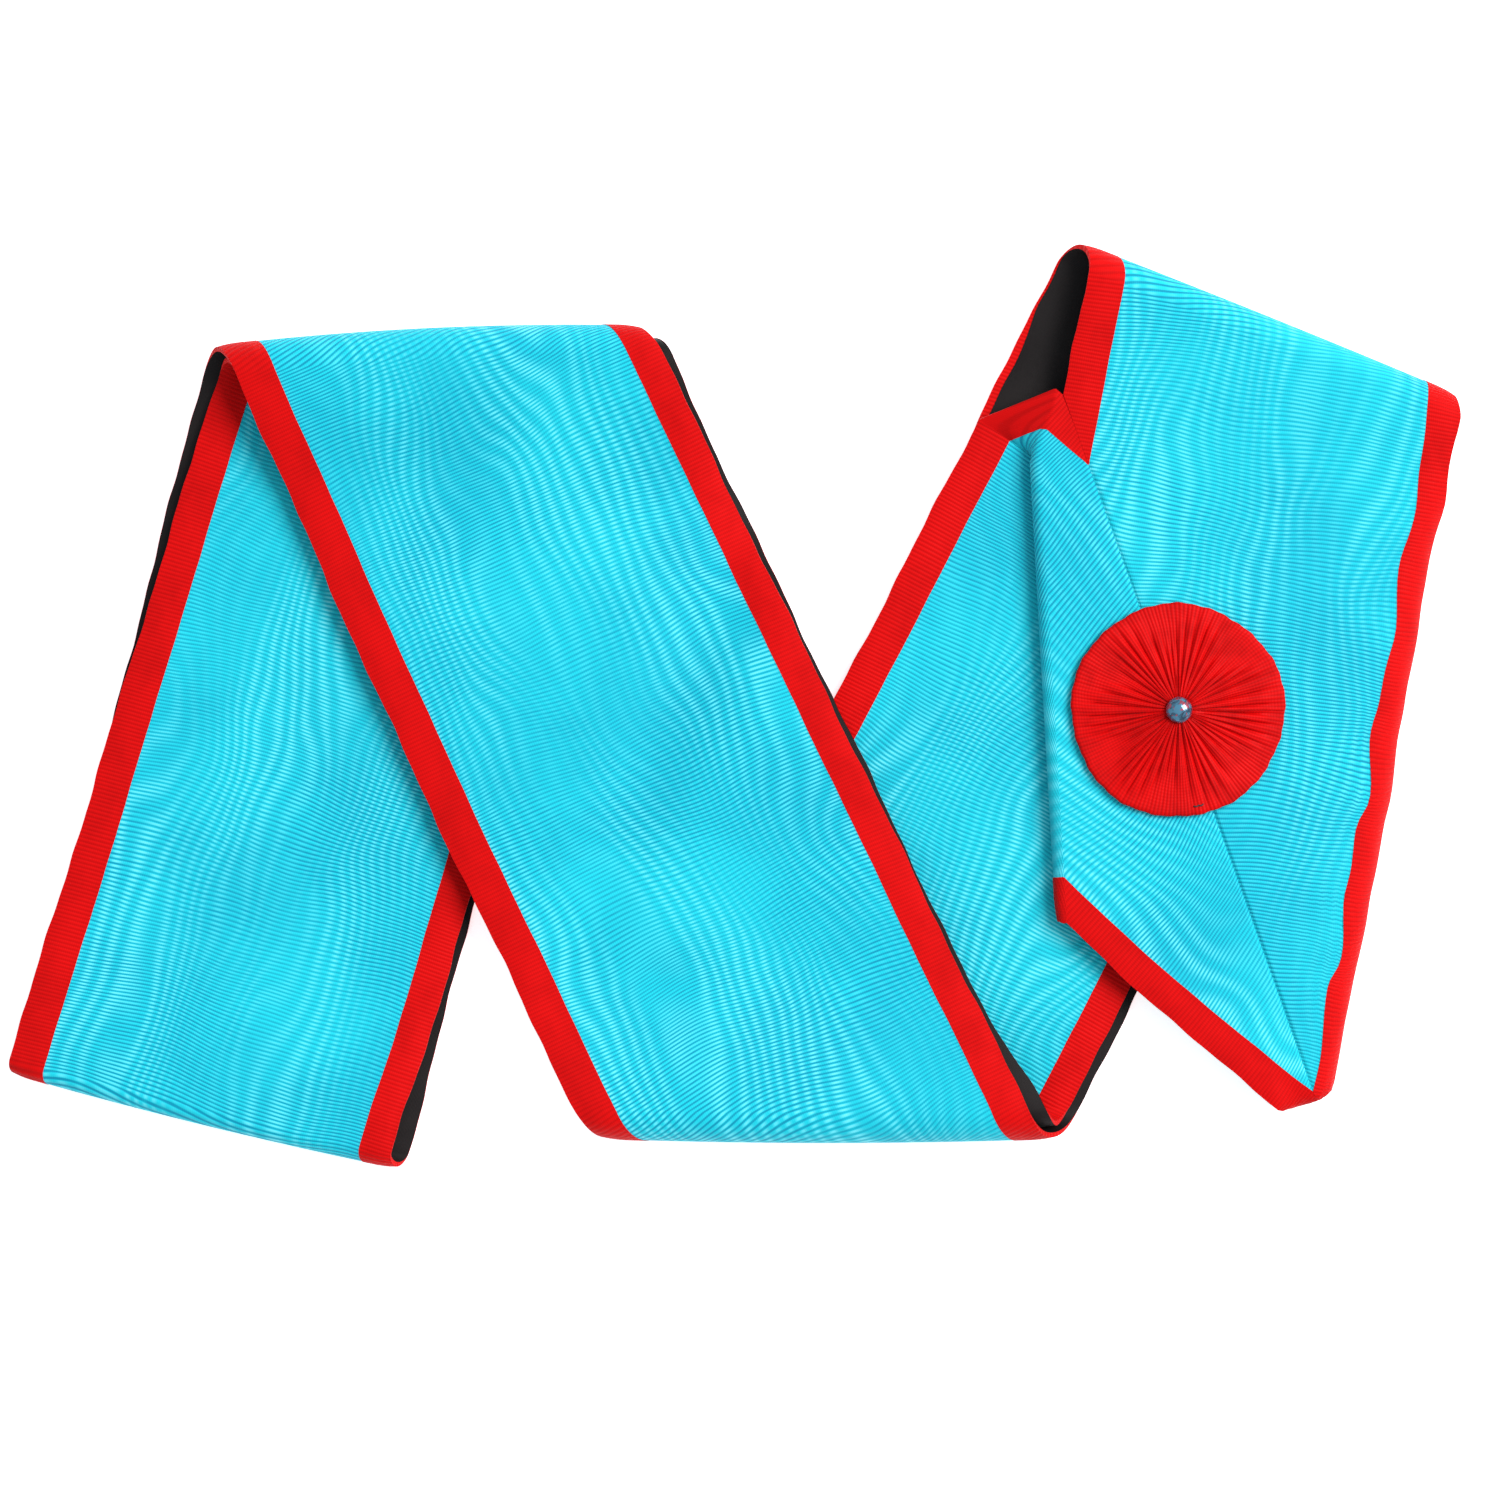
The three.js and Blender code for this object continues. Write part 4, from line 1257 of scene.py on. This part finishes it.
def fine_length_setting(name, description, default):
    """A setting in metres that is shown to a hundredth of a millimetre."""
    return FloatProperty(
        name=name, description=description, default=default, unit="LENGTH", precision=5,
    )


def factor_setting(name, description, default):
    """A share from 0 to 1."""
    return FloatProperty(
        name=name, description=description, default=default, subtype="FACTOR", min=0.0, max=1.0,
    )


def number_setting(name, description, default, **limits):
    """A plain number."""
    return FloatProperty(name=name, description=description, default=default, **limits)


def colour_setting(name, description, default):
    """A colour as linear red, green and blue."""
    return FloatVectorProperty(
        name=name, description=description, default=default, size=3, subtype="COLOR",
        min=0.0, max=1.0,
    )


class ClothSettings(bpy.types.PropertyGroup):
    """Sizes and colours of the band's cloth."""

    band_width: length_setting(
        "Band width", "Width of the finished band", BAND_WIDTH, min=0.05, max=0.2,
    )
    rib_pitch: fine_length_setting("Rib pitch", "Distance from one cross rib to the next", 1.03 * MM)
    warp_pitch: fine_length_setting(
        "Warp pitch", "Distance from one warp thread to the next", 0.52 * MM,
    )
    moire_pitch: fine_length_setting(
        "Watering pitch", "Distance across the band from one watered line to the next", 4.0 * MM,
    )
    moire_bends: number_setting(
        "Watering bends", "How many line pitches the watered lines wander", 12.0,
    )
    moire_strength: factor_setting("Watering strength", "How light the watered streaks are", 0.5)
    rib_contrast: factor_setting("Rib contrast", "How dark the lines between the ribs are", 0.8)
    blue: colour_setting("Blue", "The ribbon's main colour", (0.012, 0.565, 0.655))
    blue_deep: colour_setting("Deep blue", "The ribbon's colour between its ribs", (0.003, 0.25, 0.38))
    blue_light: colour_setting("Light blue", "The watered streaks' colour", (0.26, 0.78, 0.84))
    red: colour_setting("Red", "The edge ribbons' main colour", (0.64, 0.002, 0.002))
    red_deep: colour_setting(
        "Deep red", "The edge ribbons' colour between their ribs", (0.36, 0.001, 0.001),
    )
    lining: colour_setting("Lining", "The lining's main colour", (0.0076, 0.0048, 0.0046))
    lining_light: colour_setting(
        "Lining, worn", "The lining's colour on its creases", (0.0140, 0.0105, 0.0100),
    )


class RosetteSettings(bpy.types.PropertyGroup):
    """Sizes and colours of the rosette and its button."""

    diameter: length_setting("Rosette diameter", "Across the rosette, from rim to rim", 54 * MM)
    centre_height: fine_length_setting(
        "Centre height", "Height of the pleats' valleys beside the button", 2.9 * MM,
    )
    pleats: IntProperty(
        name="Pleats", description="Number of pleats round the rosette", default=48, min=12, max=90,
    )
    button_diameter: length_setting("Button diameter", "Across the button", 6.6 * MM)
    button_height: fine_length_setting("Button height", "Height of the button's dome", 2.6 * MM)
    red: colour_setting("Red", "The rosette's main colour", (0.65, 0.001, 0.001))
    red_deep: colour_setting(
        "Deep red", "The rosette's colour between its ribs", (0.28, 0.0005, 0.0005),
    )
    button: colour_setting("Button", "The button's main colour", (0.06, 0.20, 0.30))
    button_deep: colour_setting("Button, dark", "The button's dark clouds", (0.012, 0.035, 0.07))
    button_fleck: colour_setting("Button, flecks", "The button's reddish flecks", (0.42, 0.02, 0.03))


class StageSettings(bpy.types.PropertyGroup):
    """The camera, the lights and the floor."""

    camera_height: length_setting("Camera height", "Height of the camera above the floor", 1.1)
    view_width: length_setting("View width", "Width of the floor that the camera sees", 0.3858)
    axis_x: fine_length_setting(
        "View centre, X", "Where the camera's axis meets the floor", 4.4 * MM,
    )
    axis_y: fine_length_setting(
        "View centre, Y", "Where the camera's axis meets the floor", -11.2 * MM,
    )
    key_power: FloatProperty(
        name="Key light", description="Power of the large soft light", default=137.0, unit="POWER",
    )
    fill: number_setting("Fill light", "Brightness of the room", 0.72, min=0.0, max=2.0)
    floor: colour_setting("Floor", "The floor's colour", (0.90, 0.90, 0.90))
    floor_glow: number_setting(
        "Floor glow", "Brightness of the lit table under the sash", 0.75, min=0.0, max=2.0,
    )


class SASH_OT_lining(bpy.types.Operator):
    """Makes the black lining"""

    bl_idname = "object.sash_lining"
    bl_label = "Make Lining"

    def execute(self, context):
        cloth = context.scene.sash_cloth
        outline = lining_outline(cloth.band_width)
        piece, path = lay_strip(cloth, "lining", outline, lining_material(cloth), "lining")
        return {"FINISHED"}


class SASH_OT_ribbon(bpy.types.Operator):
    """Makes the watered blue ribbon"""

    bl_idname = "object.sash_ribbon"
    bl_label = "Make Moiré Ribbon"

    def execute(self, context):
        cloth = context.scene.sash_cloth
        outline = ribbon_outline(cloth.band_width)
        piece, path = lay_strip(cloth, "moire_ribbon", outline, moire_material(cloth), "moire")
        return {"FINISHED"}


class SASH_OT_edges(bpy.types.Operator):
    """Makes the two red edge ribbons, which bind the lining"""

    bl_idname = "object.sash_edges"
    bl_label = "Make Edge Ribbons"

    def execute(self, context):
        cloth = context.scene.sash_cloth
        material = red_material("edge_cloth", cloth, cloth.red, cloth.red_deep)
        for name, edge_width, side in (
            ("edge_ribbon_inner", INNER_EDGE_WIDTH, -1),
            ("edge_ribbon_outer", OUTER_EDGE_WIDTH, 1),
        ):
            outline = edge_outline(cloth.band_width, edge_width, side)
            piece, path = lay_strip(cloth, name, outline, material, "edge")
        return {"FINISHED"}


class SASH_OT_rosette(bpy.types.Operator):
    """Makes the pleated rosette, its button and the tack thread at its rim"""

    bl_idname = "object.sash_rosette"
    bl_label = "Make Rosette"

    def execute(self, context):
        cloth = context.scene.sash_cloth
        rosette = context.scene.sash_rosette
        place, top = button_place()
        button_seat = top - place[2] - rosette.button_height
        piece = rosette_mesh(rosette, place)
        dress(piece, rosette_material(cloth, rosette), "rosette", "rosette")

        profile = button_profile(rosette, button_seat)
        button = lathe("rosette_button_dome", profile, BUTTON_SEGMENTS, place)
        dress(button, button_material(rosette), "button", "rosette_button")

        thread = self.tack_thread(rosette, place)
        dress(thread, thread_material(), "lining")
        return {"FINISHED"}

    def tack_thread(self, rosette, place):
        """Two short stitches of dark thread on the rosette's lower rim."""
        out = THREAD_OUT * rosette.diameter / 2
        line = []
        for step in range(THREAD_STEPS + 1):
            share = step / THREAD_STEPS
            angle = math.radians(THREAD_START + THREAD_SWEEP * share)
            hop = abs(math.sin(2 * math.pi * share))
            far = out + THREAD_HOP_OUT * hop
            height = THREAD_HEIGHT + THREAD_HOP_UP * hop
            line.append(place + [far * math.cos(angle), far * math.sin(angle), height])
        return tube("rosette_tack_thread", line, THREAD_RADIUS)


class SASH_OT_stage(bpy.types.Operator):
    """Makes the camera, the lights and the pale floor"""

    bl_idname = "object.sash_stage"
    bl_label = "Make Stage"

    def execute(self, context):
        stage = context.scene.sash_stage
        self.camera(context, stage)
        self.floor(context, stage)
        self.lights(context, stage)
        context.scene.view_settings.view_transform = "Standard"
        context.scene.view_settings.look = "None"
        return {"FINISHED"}

    def camera(self, context, stage):
        data = bpy.data.cameras.new("overhead_camera")
        data.sensor_width = 36.0
        data.lens = data.sensor_width * stage.camera_height / stage.view_width
        camera = bpy.data.objects.new("overhead_camera", data)
        camera.location = (stage.axis_x, stage.axis_y, stage.camera_height)
        context.scene.collection.objects.link(camera)
        context.scene.camera = camera

    def floor(self, context, stage):
        corners = np.array([(-1, -1, 0), (1, -1, 0), (1, 1, 0), (-1, 1, 0)]) * FLOOR_REACH
        floor = mesh_object("floor", corners, [(0, 1, 2, 3)], corners[:, :2], math.radians(30))
        recipe = Recipe("pale_floor")
        place = recipe.node("ShaderNodeTexCoord").outputs["Object"]
        grain = recipe.noise(place, 40.0, 3.0)
        worn = tuple(0.985 * part for part in stage.floor)
        tone = recipe.mix(grain, rgba(stage.floor), rgba(worn))
        shine = {"Roughness": 0.9, "Emission Strength": stage.floor_glow}
        material = recipe.finish({"Base Color": tone, "Emission Color": tone}, shine)
        floor.data.materials.append(material)

    def lights(self, context, stage):
        data = bpy.data.lights.new("key_light", "AREA")
        data.size = KEY_SIZE
        data.energy = stage.key_power
        light = bpy.data.objects.new("key_light", data)
        light.location = KEY_PLACE
        light.rotation_euler = (-Vector(KEY_PLACE)).to_track_quat("-Z", "Y").to_euler()
        context.scene.collection.objects.link(light)
        world = bpy.data.worlds.new("studio")
        world.use_nodes = True
        background = world.node_tree.nodes["Background"]
        background.inputs["Color"].default_value = rgba(ROOM_COLOUR)
        background.inputs["Strength"].default_value = stage.fill
        context.scene.world = world


class SASH_PT_panel(bpy.types.Panel):
    """Lists the sash's pieces and sizes"""

    bl_idname = "SASH_PT_panel"
    bl_label = "Order Sash"
    bl_space_type = "VIEW_3D"
    bl_region_type = "UI"
    bl_category = "Sash"

    def draw(self, context):
        layout = self.layout
        scene = context.scene
        for settings in (scene.sash_cloth, scene.sash_rosette, scene.sash_stage):
            box = layout.box()
            for name in settings.__annotations__:
                box.prop(settings, name)
        for operator in OPERATORS:
            layout.operator(operator.bl_idname)


SETTINGS = (ClothSettings, RosetteSettings, StageSettings)
OPERATORS = (SASH_OT_stage, SASH_OT_ribbon, SASH_OT_edges, SASH_OT_lining, SASH_OT_rosette)


def register():
    for group in (*SETTINGS, *OPERATORS, SASH_PT_panel):
        bpy.utils.register_class(group)
    bpy.types.Scene.sash_cloth = PointerProperty(type=ClothSettings)
    bpy.types.Scene.sash_rosette = PointerProperty(type=RosetteSettings)
    bpy.types.Scene.sash_stage = PointerProperty(type=StageSettings)


def unregister():
    del bpy.types.Scene.sash_cloth
    del bpy.types.Scene.sash_rosette
    del bpy.types.Scene.sash_stage
    for group in reversed((*SETTINGS, *OPERATORS, SASH_PT_panel)):
        bpy.utils.unregister_class(group)


def main():
    register()
    bpy.ops.object.sash_stage()
    bpy.ops.object.sash_ribbon()
    bpy.ops.object.sash_edges()
    bpy.ops.object.sash_lining()
    bpy.ops.object.sash_rosette()


if __name__ == "__main__":
    main()
